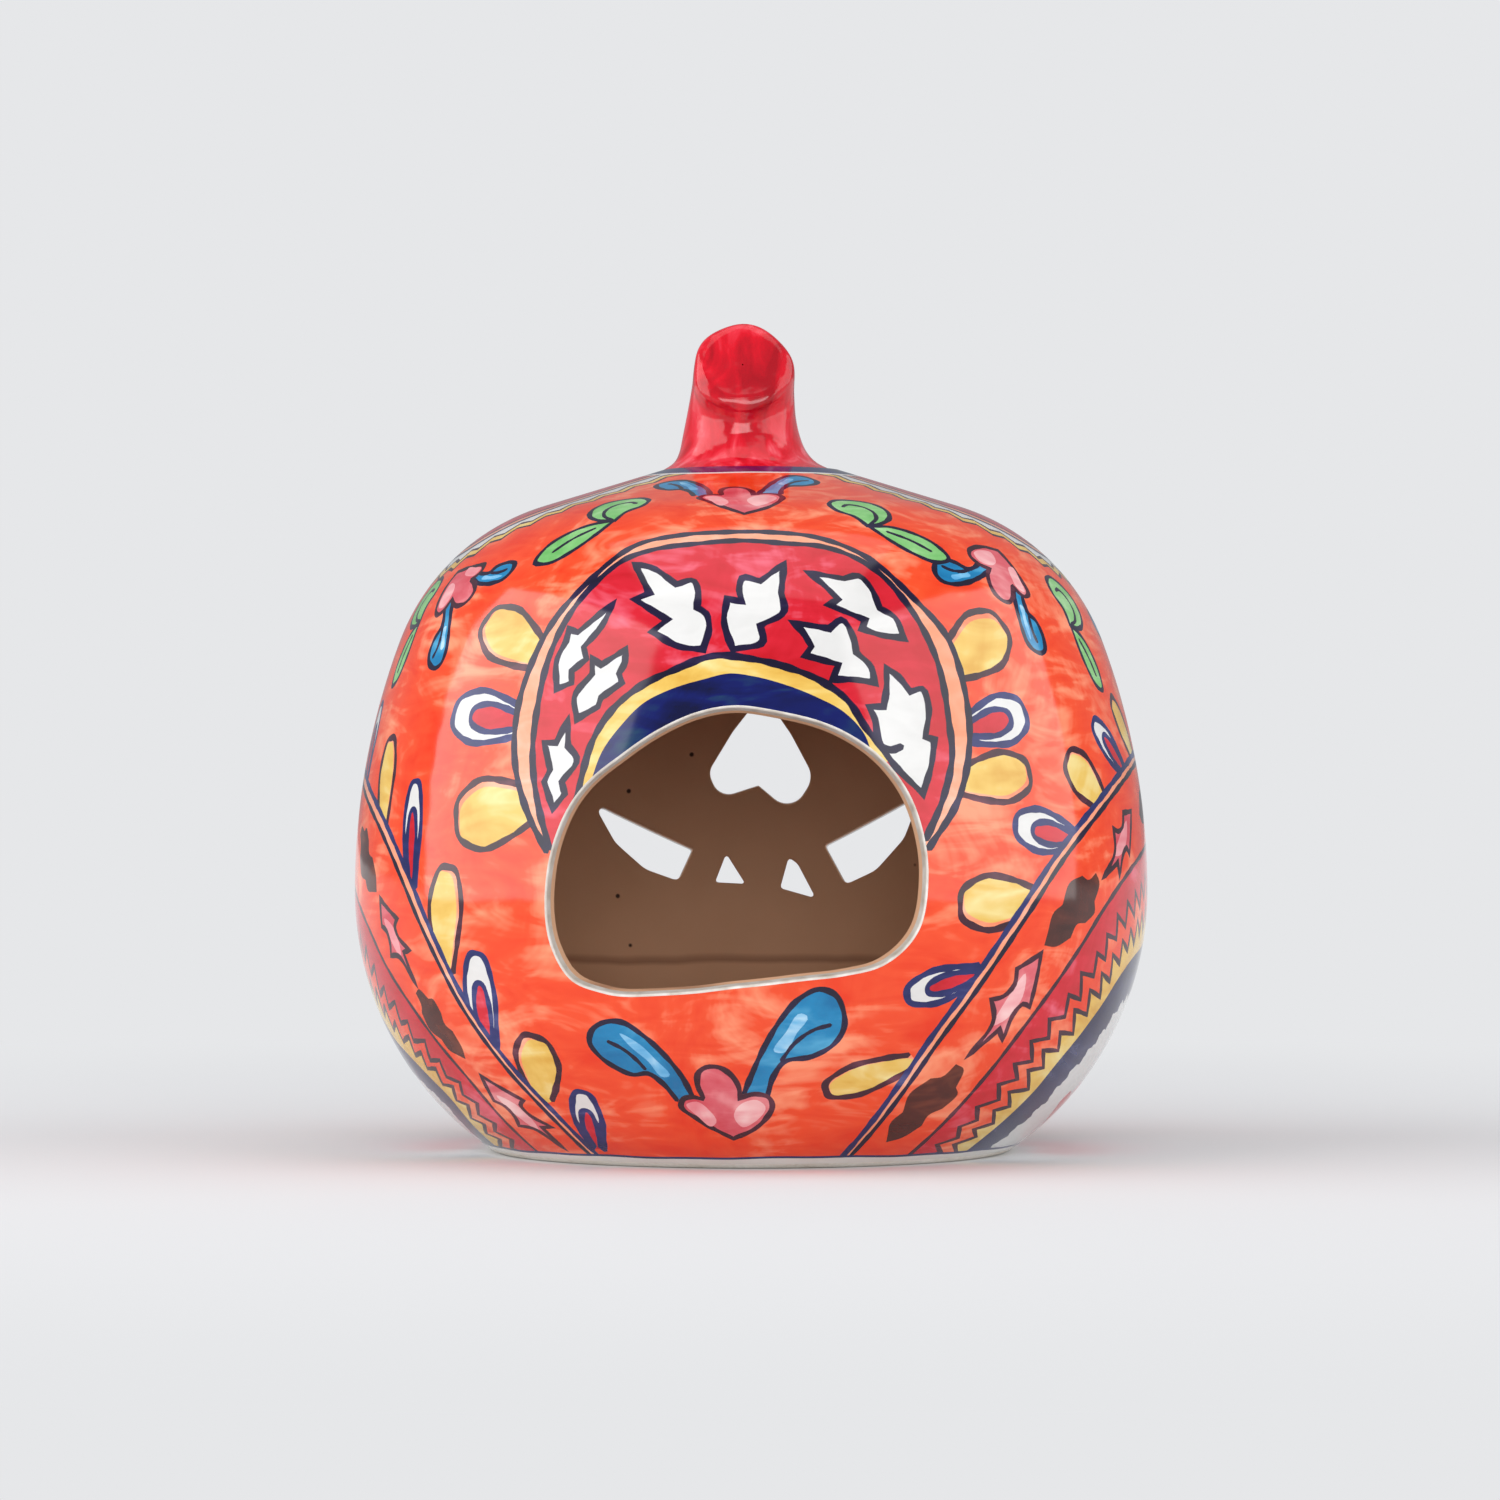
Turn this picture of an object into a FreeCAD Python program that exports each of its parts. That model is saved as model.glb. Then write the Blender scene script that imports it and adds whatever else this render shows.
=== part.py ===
"""Gourd-shaped ceramic diya lantern: a slip-cast shell with a hand-cut mouth, pierced at the back,
a luted stalk and floor slab, and a small clay oil cup with its wick that lifts out through the mouth."""

import FreeCAD, Part
import math
import os
from FreeCAD import Placement, Rotation, Vector

# Driving dimensions, in millimetres and degrees: alias, value, what it is.
DIMENSIONS = [
    ("belly_radius", 70.0, "outer radius of the body at its widest"),
    ("belly_height", 46.0, "height of the widest ring above the table"),
    ("lower_curve", 55.2, "radius of the profile's arc from the foot to the belly"),
    ("side_curve", 126.0, "radius of the profile's long arc above the belly"),
    ("shoulder_curve", 39.0, "radius of the profile's shoulder arc"),
    ("shoulder_start", 90.1, "height where the shoulder arc starts"),
    ("wall", 3.5, "wall of the cast shell"),
    ("seat_radius", 15.6, "flat on the crown that the stalk is luted to"),
    ("seat_height", 120.3, "height of that flat"),
    ("crown_thickness", 4.5, "clay under the flat, on the axis"),
    ("slab_radius", 41.5, "floor slab"),
    ("slab_thickness", 3.5, "floor slab"),
    ("mouth_plane", 66.0, "distance from the axis where the mouth has its drawn size"),
    ("mouth_flare_across", 82.0, "distance over which the mouth's sides would meet"),
    ("mouth_flare_upright", 85.0, "distance over which its top and bottom would meet"),
    ("cup_foot_radius", 11.0, "oil cup"),
    ("cup_rim_radius", 21.0, "oil cup"),
    ("cup_height", 15.0, "oil cup"),
    ("cup_wall", 2.6, "oil cup"),
    ("cup_floor", 2.8, "oil cup"),
    ("cup_side_curve", 19.0, "radius of the cup's outer side"),
    ("spout_reach", 27.0, "the pinched lip's tip, from the cup's centre"),
    ("spout_root", 8.0, "where the pinched lip starts, from the cup's centre"),
    ("spout_root_radius", 12.5, "half width of the lip's outside at its root"),
    ("spout_tip_radius", 4.8, "half width of the lip's outside at its tip"),
    ("spout_wall", 2.4, "wall of the pinched lip"),
    ("oil_below_rim", 5.0, "level of the oil under the cup's rim"),
    ("wick_radius", 1.1, "twisted cotton wick"),
    ("wick_bend", 9.0, "radius of the wick's bends"),
]

# Hand-cut openings as they are drawn, seen from the front: x to the right, z up.
MOUTH_POINTS = [
    (-2.5, 77.8), (-9.0, 76.9), (-15.2, 74.1), (-21.4, 70.5), (-31.9, 61.0), (-35.6, 50.0), (-34.9, 37.0),
    (-31.1, 31.4), (-25.1, 30.0), (-9.5, 31.3), (3.0, 33.0), (15.5, 34.1), (21.8, 35.2), (28.4, 41.0),
    (30.0, 50.0), (26.6, 64.0), (16.2, 73.5), (7.3, 76.3),
]
MOUTH_CENTRE = (-2.5, 54.0)

# Piercings in the back wall: centre (x, distance behind the axis, z), then how the knife was held,
# (bearing to the right, tilt upwards) in degrees, then corners (across, up, corner radius) about the centre.
PIERCINGS = [
    ("heart", (1.6, 66.0, 68.0), (0, 3), [
        (0.6, 13.6, 1.0), (5.9, 5.9, 14.0), (10.3, -2.4, 4.4), (6.0, -9.2, 3.6), (-0.2, -4.0, 0.4),
        (-7.6, -6.4, 3.2), (-9.7, -1.4, 3.2), (-5.0, 6.4, 14.0)]),
    ("left_eye", (-19.7, 64.7, 51.9), (-8, -7), [
        (-10.8, 8.7, 0.9), (8.9, 0.2, 0.4), (6.1, -5.8, 1.3), (-0.4, -3.6, 6.0), (-6.2, 1.2, 6.0)]),
    ("right_eye", (23.1, 63.5, 52.5), (9, -7), [
        (-9.5, 0.4, 0.5), (-5.4, -7.0, 1.2), (0.5, -4.4, 6.0), (6.1, 1.4, 6.0), (9.6, 9.7, 1.0)]),
    ("left_nostril", (-4.2, 68.0, 47.5), (0, -1), [(-0.5, 3.7, 0.4), (-2.6, -1.7, 0.4), (3.1, -2.0, 0.3)]),
    ("right_nostril", (8.4, 67.6, 46.8), (0, -1), [
        (-1.3, 3.7, 0.5), (-2.9, -2.1, 0.6), (3.8, -4.0, 0.4), (0.4, 2.5, 3.0)]),
]

# The stalk's sections, from its base to its cut end: offset across, forward, height, tilt forward, half width, half depth.
STALK_SECTIONS = [
    (-0.6, 0.0, 0.0, 0, 15.0, 14.9),
    (-1.0, 0.0, 1.2, 0, 13.0, 12.9),
    (-1.4, -0.1, 3.2, 1, 11.6, 11.5),
    (-1.6, -0.2, 5.8, 5, 10.7, 10.6),
    (-1.6, 0.4, 8.8, 17, 10.0, 9.9),
    (-1.5, 1.6, 11.8, 32, 9.6, 9.5),
    (-1.5, 3.3, 14.7, 47, 9.3, 9.2),
    (-1.5, 5.5, 17.1, 60, 9.2, 9.1),
    (-1.5, 6.8, 17.8, 65, 8.9, 8.8),
    (-1.5, 7.5, 18.1, 66, 8.2, 8.1),
    (-1.5, 7.8, 18.3, 66, 7.2, 7.1),
]

# The wick's route in the cup's middle plane: distance forward of the cup's centre, height above the floor slab.
WICK_ROUTE = [(-9.0, 4.5), (7.5, 4.9), (17.0, 11.2), (32.0, 15.4)]

doc = FreeCAD.newDocument("diya_lantern")
sheet = doc.addObject("Spreadsheet::Sheet", "Dims")
for row, (alias, value, note) in enumerate(DIMENSIONS, 1):
    sheet.set(f"A{row}", note)
    sheet.set(f"B{row}", str(value))
    sheet.setAlias(f"B{row}", alias)
doc.recompute()
D = {alias: float(sheet.get(alias)) for alias, _, _ in DIMENSIONS}


def origin_plane(body, role):
    return next(f for f in body.Origin.OriginFeatures if f.Role == role)


def new_body(name):
    body = doc.addObject("PartDesign::Body", name)
    body.Label = name
    return body


def new_sketch(body, name, role="XZ_Plane", placement=None):
    """A sketch on one of the body's own origin planes, moved within it by placement."""
    sketch = body.newObject("Sketcher::SketchObject", name)
    sketch.AttachmentSupport = [(origin_plane(body, role), "")]
    sketch.MapMode = "FlatFace"
    if placement:
        sketch.AttachmentOffset = placement
    return sketch


def bind(sketch, kind, *args, to):
    """Adds a sized constraint and binds it to an expression of the sheet's cells."""
    import Sketcher
    index = sketch.addConstraint(Sketcher.Constraint(kind, *args))
    sketch.setExpression(f"Constraints[{index}]", to)
    return index


def relate(sketch, kind, *args):
    import Sketcher
    sketch.addConstraint(Sketcher.Constraint(kind, *args))


def arc(centre, radius, start, end):
    """Arc of a circle in the sketch plane, anticlockwise, with angles in degrees."""
    circle = Part.Circle(Vector(centre[0], centre[1], 0), Vector(0, 0, 1), radius)
    return Part.ArcOfCircle(circle, math.radians(start), math.radians(end))


def line(a, b):
    return Part.LineSegment(Vector(a[0], a[1], 0), Vector(b[0], b[1], 0))


def on_circle(centre, radius, angle):
    a = math.radians(angle)
    return (centre[0] + radius * math.cos(a), centre[1] + radius * math.sin(a))


def revolve(body, sketch, name):
    feature = body.newObject("PartDesign::Revolution", name)
    feature.Profile = sketch
    feature.ReferenceAxis = (sketch, ["V_Axis"])
    feature.Angle = 360
    return feature


START, END, CENTRE = 1, 2, 3
ORIGIN, X_AXIS, Y_AXIS = -1, -1, -2


def shell_section(body):
    """The cast wall's section: three tangent arcs outside, the same three less the wall inside."""
    s = new_sketch(body, "wall_section")
    lower_c = (D["belly_radius"] - D["lower_curve"], D["belly_height"])
    side_c = (D["belly_radius"] - D["side_curve"], D["belly_height"])
    foot = -math.degrees(math.asin(D["belly_height"] / D["lower_curve"]))
    turn = math.degrees(math.asin((D["shoulder_start"] - D["belly_height"]) / D["side_curve"]))
    gap = D["side_curve"] - D["shoulder_curve"]
    shoulder_c = on_circle(side_c, gap, turn)
    # The crown's straight slope touches the shoulder arc and ends at the stalk's seat.
    across, rise = D["seat_radius"] - shoulder_c[0], D["seat_height"] - shoulder_c[1]
    reach = math.hypot(across, rise)
    crown = math.degrees(math.atan2(rise, across) - math.acos(D["shoulder_curve"] / reach))
    inner_floor = -math.degrees(math.asin((D["belly_height"] - D["slab_thickness"]) / (D["lower_curve"] - D["wall"])))
    radii = [D["lower_curve"], D["side_curve"], D["shoulder_curve"]]
    inner = [r - D["wall"] for r in radii]
    outer_end = on_circle(shoulder_c, radii[2], crown)
    inner_end = on_circle(shoulder_c, inner[2], crown)
    ceiling = D["seat_height"] - D["crown_thickness"]
    ledge = on_circle(lower_c, inner[0], inner_floor)
    foot_point = on_circle(lower_c, radii[0], foot)
    geometry = [
        arc(lower_c, radii[0], foot, 0),
        arc(side_c, radii[1], 0, turn),
        arc(shoulder_c, radii[2], turn, crown),
        line(outer_end, (D["seat_radius"], D["seat_height"])),
        line((D["seat_radius"], D["seat_height"]), (0, D["seat_height"])),
        line((0, D["seat_height"]), (0, ceiling)),
        line((0, ceiling), inner_end),
        arc(shoulder_c, inner[2], turn, crown),
        arc(side_c, inner[1], 0, turn),
        arc(lower_c, inner[0], inner_floor, 0),
        line(ledge, (D["slab_radius"], D["slab_thickness"])),
        line((D["slab_radius"], D["slab_thickness"]), (D["slab_radius"], 0)),
        line((D["slab_radius"], 0), foot_point),
    ]
    s.addGeometry(geometry, False)
    (lower, side, shoulder, slope, seat, axis, under, in_shoulder, in_side, in_lower, ledge_top, slab_wall,
     foot_ring) = range(13)
    relate(s, "Tangent", lower, END, side, START)
    relate(s, "Tangent", side, END, shoulder, START)
    relate(s, "Tangent", shoulder, END, slope, START)
    for a, b in ((slope, seat), (seat, axis), (axis, under)):
        relate(s, "Coincident", a, END, b, START)
    relate(s, "Coincident", under, END, in_shoulder, END)
    relate(s, "Tangent", in_shoulder, START, in_side, END)
    relate(s, "Tangent", in_side, START, in_lower, END)
    relate(s, "Coincident", in_lower, START, ledge_top, START)
    relate(s, "Coincident", ledge_top, END, slab_wall, START)
    relate(s, "Coincident", slab_wall, END, foot_ring, START)
    relate(s, "Coincident", foot_ring, END, lower, START)
    for outside, inside in ((lower, in_lower), (side, in_side), (shoulder, in_shoulder)):
        relate(s, "Coincident", outside, CENTRE, inside, CENTRE)
    relate(s, "Horizontal", seat)
    relate(s, "Horizontal", ledge_top)
    relate(s, "Vertical", slab_wall)
    relate(s, "PointOnObject", seat, END, Y_AXIS)
    relate(s, "PointOnObject", under, START, Y_AXIS)
    relate(s, "PointOnObject", slab_wall, END, X_AXIS)
    relate(s, "PointOnObject", lower, START, X_AXIS)
    relate(s, "Horizontal", lower, CENTRE, lower, END)
    bind(s, "DistanceX", ORIGIN, START, lower, END, D["belly_radius"], to="Dims.belly_radius")
    bind(s, "DistanceY", ORIGIN, START, lower, END, D["belly_height"], to="Dims.belly_height")
    bind(s, "Radius", lower, radii[0], to="Dims.lower_curve")
    bind(s, "Radius", side, radii[1], to="Dims.side_curve")
    bind(s, "Radius", shoulder, radii[2], to="Dims.shoulder_curve")
    bind(s, "Radius", in_lower, inner[0], to="Dims.lower_curve - Dims.wall")
    bind(s, "DistanceY", ORIGIN, START, side, END, D["shoulder_start"], to="Dims.shoulder_start")
    bind(s, "DistanceX", ORIGIN, START, slope, END, D["seat_radius"], to="Dims.seat_radius")
    bind(s, "DistanceY", ORIGIN, START, slope, END, D["seat_height"], to="Dims.seat_height")
    bind(s, "DistanceY", ORIGIN, START, under, START, ceiling, to="Dims.seat_height - Dims.crown_thickness")
    bind(s, "DistanceX", ORIGIN, START, slab_wall, START, D["slab_radius"], to="Dims.slab_radius")
    bind(s, "DistanceY", ORIGIN, START, slab_wall, START, D["slab_thickness"], to="Dims.slab_thickness")
    return s


def mouth_section(body, name, distance):
    """The mouth's outline where a plane that far in front of the axis meets the flared cut."""
    s = new_sketch(body, name, placement=Placement(Vector(0, 0, distance), Rotation()))
    beyond = distance - D["mouth_plane"]
    across, upright = 1 + beyond / D["mouth_flare_across"], 1 + beyond / D["mouth_flare_upright"]
    cx, cz = MOUTH_CENTRE
    points = [Vector(cx + (x - cx) * across, cz + (z - cz) * upright, 0) for x, z in MOUTH_POINTS]
    outline = Part.BSplineCurve()
    outline.interpolate(Points=points, PeriodicFlag=True)
    s.addGeometry(outline, False)
    return s


def rounded_outline(sketch, corners):
    """Closed outline of straight cuts whose corners are rounded by tangent arcs."""
    count = len(corners)
    points = [Vector(x, z, 0) for x, z, _ in corners]
    ends = []
    for i, (_, _, radius) in enumerate(corners):
        before = (points[i - 1] - points[i]).normalize()
        after = (points[(i + 1) % count] - points[i]).normalize()
        half = before.getAngle(after) / 2
        back = radius / math.tan(half)
        middle = points[i] + (before + after).normalize() * (radius / math.sin(half) - radius)
        ends.append((points[i] + before * back, middle, points[i] + after * back))
    for i, (first, middle, last) in enumerate(ends):
        sketch.addGeometry(Part.Arc(first, middle, last), False)
        sketch.addGeometry(Part.LineSegment(last, ends[(i + 1) % count][0]), False)


def pierce(body, name, centre, knife, corners):
    """One piercing, cut outwards along the knife from a plane inside the hollow that is square to it."""
    across, behind, up = centre
    bearing, tilt = knife
    turned = Rotation(Vector(0, 1, 0), -bearing) * Rotation(Vector(1, 0, 0), tilt)
    outwards = turned.multVec(Vector(0, 0, -1))
    start = Vector(across, up, -behind) - outwards * (behind * 0.7)
    s = new_sketch(body, name + "_outline", placement=Placement(start, turned))
    rounded_outline(s, corners)
    cut = body.newObject("PartDesign::Pocket", name)
    cut.Profile = s
    cut.setExpression("Length", "Dims.belly_radius")


def make_shell():
    body = new_body("body_shell")
    revolve(body, shell_section(body), "cast_wall")
    doc.recompute()
    inner = mouth_section(body, "mouth_inside", D["mouth_plane"] - 18)
    outer = mouth_section(body, "mouth_outside", D["mouth_plane"] + 12)
    mouth = body.newObject("PartDesign::SubtractiveLoft", "mouth")
    mouth.Profile = inner
    mouth.Sections = [outer]
    mouth.Ruled = True
    doc.recompute()
    for name, centre, knife, corners in PIERCINGS:
        before = body.Shape.Volume
        pierce(body, name, centre, knife, corners)
        doc.recompute()
        print(name, "takes", round(before - body.Shape.Volume), "mm3")
    return body


def make_slab():
    body = new_body("floor_slab")
    s = new_sketch(body, "slab_disc", "XY_Plane")
    s.addGeometry(Part.Circle(Vector(), Vector(0, 0, 1), D["slab_radius"]), False)
    relate(s, "Coincident", 0, CENTRE, ORIGIN, START)
    bind(s, "Radius", 0, D["slab_radius"], to="Dims.slab_radius")
    pad = body.newObject("PartDesign::Pad", "slab")
    pad.Profile = s
    pad.setExpression("Length", "Dims.slab_thickness")
    return body


def make_stalk():
    """The stalk bends forward: elliptical sections lofted from its flared base to its softened cut end."""
    body = new_body("stem")
    sections = []
    for i, (across, forward, height, tilt, half_width, half_depth) in enumerate(STALK_SECTIONS):
        place = Placement(Vector(across, -forward, D["seat_height"] + height), Rotation(Vector(1, 0, 0), tilt))
        s = new_sketch(body, f"section_{i}", "XY_Plane", place)
        s.setExpression("AttachmentOffset.Base.z", f"Dims.seat_height + {height}")
        s.addGeometry(Part.Ellipse(Vector(), half_width, half_depth), False)
        sections.append(s)
    loft = body.newObject("PartDesign::AdditiveLoft", "stalk")
    loft.Profile = sections[0]
    loft.Sections = sections[1:]
    return body


def half_round(body, name, forward, radius, expression):
    """Half-disc under the cup's rim, on a plane that far forward of the cup's centre."""
    rim = D["slab_thickness"] + D["cup_height"]
    s = new_sketch(body, name, placement=Placement(Vector(0, 0, forward), Rotation()))
    s.addGeometry([arc((0, rim), radius, 180, 360), line((radius, rim), (-radius, rim))], False)
    relate(s, "Coincident", 0, END, 1, START)
    relate(s, "Coincident", 1, END, 0, START)
    relate(s, "Horizontal", 1)
    relate(s, "PointOnObject", 0, CENTRE, Y_AXIS)
    relate(s, "PointOnObject", 0, CENTRE, 1)
    bind(s, "Radius", 0, radius, to=expression)
    bind(s, "DistanceY", ORIGIN, START, 0, CENTRE, rim, to="Dims.slab_thickness + Dims.cup_height")
    return s


def cup_form(name, foot_radius, rim_radius, base, side_curve, root, tip, texts):
    """A round bowl with a pinched lip, as a solid: the cup's outside, or its hollow."""
    body = new_body(name)
    rim = D["slab_thickness"] + D["cup_height"]
    s = new_sketch(body, name + "_profile")
    chord = Part.Arc(Vector(foot_radius, base, 0), bulge((foot_radius, base), (rim_radius, rim), side_curve),
                     Vector(rim_radius, rim, 0))
    s.addGeometry([chord, line((rim_radius, rim), (0, rim)), line((0, rim), (0, base)),
                   line((0, base), (foot_radius, base))], False)
    relate(s, "Coincident", 0, END, 1, START)
    relate(s, "Coincident", 1, END, 2, START)
    relate(s, "Coincident", 2, END, 3, START)
    relate(s, "Coincident", 3, END, 0, START)
    relate(s, "Horizontal", 1)
    relate(s, "Horizontal", 3)
    relate(s, "PointOnObject", 2, START, Y_AXIS)
    relate(s, "PointOnObject", 2, END, Y_AXIS)
    bind(s, "Radius", 0, side_curve, to=texts["side_curve"])
    bind(s, "DistanceX", ORIGIN, START, 0, START, foot_radius, to=texts["foot_radius"])
    bind(s, "DistanceX", ORIGIN, START, 0, END, rim_radius, to=texts["rim_radius"])
    bind(s, "DistanceY", ORIGIN, START, 0, START, base, to=texts["base"])
    bind(s, "DistanceY", ORIGIN, START, 0, END, rim, to="Dims.slab_thickness + Dims.cup_height")
    revolve(body, s, name + "_round")
    doc.recompute()
    lip = body.newObject("PartDesign::AdditiveLoft", name + "_lip")
    lip.Profile = half_round(body, name + "_lip_root", D["spout_root"], root, texts["root"])
    lip.Sections = [half_round(body, name + "_lip_tip", tip[0], tip[1], texts["tip"])]
    return body


def bulge(a, b, radius):
    """Middle of the arc of that radius from a to b, on its outer, lower side."""
    mid = Vector((a[0] + b[0]) / 2, (a[1] + b[1]) / 2, 0)
    along = Vector(b[0] - a[0], b[1] - a[1], 0)
    half = along.Length / 2
    sag = radius - math.sqrt(radius ** 2 - half ** 2)
    outwards = Vector(along.y, -along.x, 0).normalize()
    return mid + outwards * sag


def make_wick():
    body = new_body("wick")
    path = new_sketch(body, "wick_route", "YZ_Plane")
    points = [Vector(-forward, D["slab_thickness"] + height, 0) for forward, height in WICK_ROUTE]
    previous = points[0]
    for before, corner, after in zip(points, points[1:], points[2:]):
        back, on = (before - corner).normalize(), (after - corner).normalize()
        half = back.getAngle(on) / 2
        reach = D["wick_bend"] / math.tan(half)
        middle = corner + (back + on).normalize() * (D["wick_bend"] / math.sin(half) - D["wick_bend"])
        path.addGeometry(Part.LineSegment(previous, corner + back * reach), False)
        path.addGeometry(Part.Arc(corner + back * reach, middle, corner + on * reach), False)
        previous = corner + on * reach
    path.addGeometry(Part.LineSegment(previous, points[-1]), False)
    for i in range(path.GeometryCount):
        relate(path, "Block", i)
    heading = points[1] - points[0]
    tilt = math.degrees(math.atan2(heading.y, -heading.x))
    place = Placement(Vector(0, points[0].y, -points[0].x), Rotation(Vector(1, 0, 0), -tilt))
    ring = new_sketch(body, "wick_section", "XZ_Plane", place)
    ring.addGeometry(Part.Circle(Vector(), Vector(0, 0, 1), D["wick_radius"]), False)
    relate(ring, "Coincident", 0, CENTRE, ORIGIN, START)
    bind(ring, "Radius", 0, D["wick_radius"], to="Dims.wick_radius")
    pipe = body.newObject("PartDesign::AdditivePipe", "twisted_cotton")
    pipe.Profile = ring
    pipe.Spine = path
    return body


def make_cup(wick):
    outside = cup_form("cup_outside", D["cup_foot_radius"], D["cup_rim_radius"], D["slab_thickness"],
                       D["cup_side_curve"], D["spout_root_radius"], (D["spout_reach"], D["spout_tip_radius"]),
                       {"side_curve": "Dims.cup_side_curve", "foot_radius": "Dims.cup_foot_radius",
                        "rim_radius": "Dims.cup_rim_radius", "base": "Dims.slab_thickness",
                        "root": "Dims.spout_root_radius", "tip": "Dims.spout_tip_radius"})
    wall, lip = D["cup_wall"], D["spout_wall"]
    hollow = cup_form("cup_hollow", D["cup_foot_radius"] - wall, D["cup_rim_radius"] - wall,
                      D["slab_thickness"] + D["cup_floor"], D["cup_side_curve"] - wall,
                      D["spout_root_radius"] - lip, (D["spout_reach"] + 1, D["spout_tip_radius"] - lip),
                      {"side_curve": "Dims.cup_side_curve - Dims.cup_wall",
                       "foot_radius": "Dims.cup_foot_radius - Dims.cup_wall",
                       "rim_radius": "Dims.cup_rim_radius - Dims.cup_wall",
                       "base": "Dims.slab_thickness + Dims.cup_floor",
                       "root": "Dims.spout_root_radius - Dims.spout_wall",
                       "tip": "Dims.spout_tip_radius - Dims.spout_wall"})
    cup = doc.addObject("Part::Cut", "diya_bowl")
    cup.Base, cup.Tool = outside, hollow
    block = doc.addObject("Part::Cylinder", "below_oil_level")
    block.setExpression("Radius", "Dims.spout_reach + Dims.cup_rim_radius")
    block.setExpression("Height", "Dims.slab_thickness + Dims.cup_height - Dims.oil_below_rim")
    pool = doc.addObject("Part::Common", "oil_pool")
    pool.Base, pool.Tool = hollow, block
    oil = doc.addObject("Part::Cut", "oil")
    oil.Base, oil.Tool = pool, wick
    for feature in (cup, oil):
        feature.Label = feature.Name
    return cup, oil


def check_and_export(pieces):
    doc.recompute()
    bad = [o.Name for o in doc.Objects if {"Invalid", "Error"} & set(o.State)]
    if bad:
        raise RuntimeError(f"these objects failed: {bad}")
    os.makedirs("parts", exist_ok=True)
    for piece in pieces:
        shape = piece.Shape
        if shape.isNull() or not shape.isValid() or not shape.Solids:
            raise RuntimeError(f"{piece.Label} has no valid solid")
        shape.exportStep(f"parts/{piece.Label}.step")
        box = shape.BoundBox
        print(f"{piece.Label}: {len(shape.Solids)} solid, {shape.Volume:.0f} mm3, "
              f"x {box.XMin:.1f} {box.XMax:.1f} y {box.YMin:.1f} {box.YMax:.1f} z {box.ZMin:.1f} {box.ZMax:.1f}")


shell = make_shell()
slab = make_slab()
stalk = make_stalk()
wick = make_wick()
cup, oil = make_cup(wick)
check_and_export([shell, slab, stalk, cup, oil, wick])
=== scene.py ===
import math
import random
import bpy
import numpy as np
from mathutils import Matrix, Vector
from mathutils.geometry import delaunay_2d_cdt


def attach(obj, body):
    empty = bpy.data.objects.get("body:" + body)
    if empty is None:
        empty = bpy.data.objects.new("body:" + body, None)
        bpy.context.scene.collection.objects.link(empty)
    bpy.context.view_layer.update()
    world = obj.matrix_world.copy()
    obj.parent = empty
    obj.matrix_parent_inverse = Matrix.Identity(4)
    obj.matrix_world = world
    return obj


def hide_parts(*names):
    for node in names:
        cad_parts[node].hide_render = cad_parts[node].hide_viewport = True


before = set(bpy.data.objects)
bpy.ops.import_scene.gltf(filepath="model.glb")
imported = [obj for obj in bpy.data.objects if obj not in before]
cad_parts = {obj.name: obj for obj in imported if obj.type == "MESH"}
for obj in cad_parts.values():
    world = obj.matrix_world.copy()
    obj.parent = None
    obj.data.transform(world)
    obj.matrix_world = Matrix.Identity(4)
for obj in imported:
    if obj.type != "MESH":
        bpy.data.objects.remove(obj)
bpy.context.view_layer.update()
mm = 0.001
dice = random.Random(11)

# The camera stands level with the middle of the lantern, a metre in front of it.
studio = {
    "cameraAt": (-0.0002, -1.0018, 0.0708), "lens": 135.8,
    "floor": "#E0E0E1", "backdrop": "#E6E7E9", "fill": "#989A9E",
    "floorRadius": 12, "floorSides": 96, "floorRings": 40,
    "glowFrom": 0.08, "glowFull": 0.4,  # metres from the middle, where the floor turns into the backdrop
    # place, what it points at, width and height in metres, watts
    "lamps": [
        ("leftSoftbox", (-1.0, -0.3, 0.5), (0, 0, 0.08), 1.5, 1.1, 13),
        ("rightSoftbox", (1.0, -0.3, 0.5), (0, 0, 0.08), 1.5, 1.1, 9.5),
        ("topSoftbox", (0, -0.1, 1.4), (0, 0, 0), 1.2, 1.2, 4.5),
        ("frontSoftbox", (0.05, -1.75, 0.3), (0, 0, 0.06), 1.2, 0.7, 13.5),
    ],
}
scene = bpy.context.scene
scene.view_settings.view_transform = "Standard"
camData = bpy.data.cameras.new("studioCamera")
camData.lens = studio["lens"]
camData.sensor_width = 36
camData.clip_start = 0.05
camera = bpy.data.objects.new("studioCamera", camData)
camera.location = studio["cameraAt"]
camera.rotation_euler = (math.radians(90), 0, 0)
scene.collection.objects.link(camera)
scene.camera = camera


def linear(code):
    # an sRGB hex value as the linear colour that shaders take
    values = [int(code[i:i + 2], 16) / 255 for i in (1, 3, 5)]
    values = [v / 12.92 if v <= 0.04045 else ((v + 0.055) / 1.055) ** 2.4 for v in values]
    return (*values, 1)


def addNode(tree, kind, settings=None, **links):
    # One node with its settings and sockets, which go by name or by _ and a number. A socket takes a
    # number, a colour or another node's output.
    node = tree.nodes.new("ShaderNode" + kind)
    for name, value in (settings or {}).items():
        setattr(node, name, value)
    for name, value in links.items():
        key = int(name[1:]) if name[0] == "_" else name.replace("_", " ")
        socket = node.inputs[key]
        if isinstance(value, bpy.types.NodeSocket):
            tree.links.new(value, socket)
        else:
            socket.default_value = value
    return node


def newMaterial(name):
    # an empty material, its node tree and the output that gives the place on the object
    material = bpy.data.materials.new(name)
    material.use_nodes = True
    tree = material.node_tree
    tree.nodes.clear()
    return material, tree, addNode(tree, "TexCoord").outputs["Object"]


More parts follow.
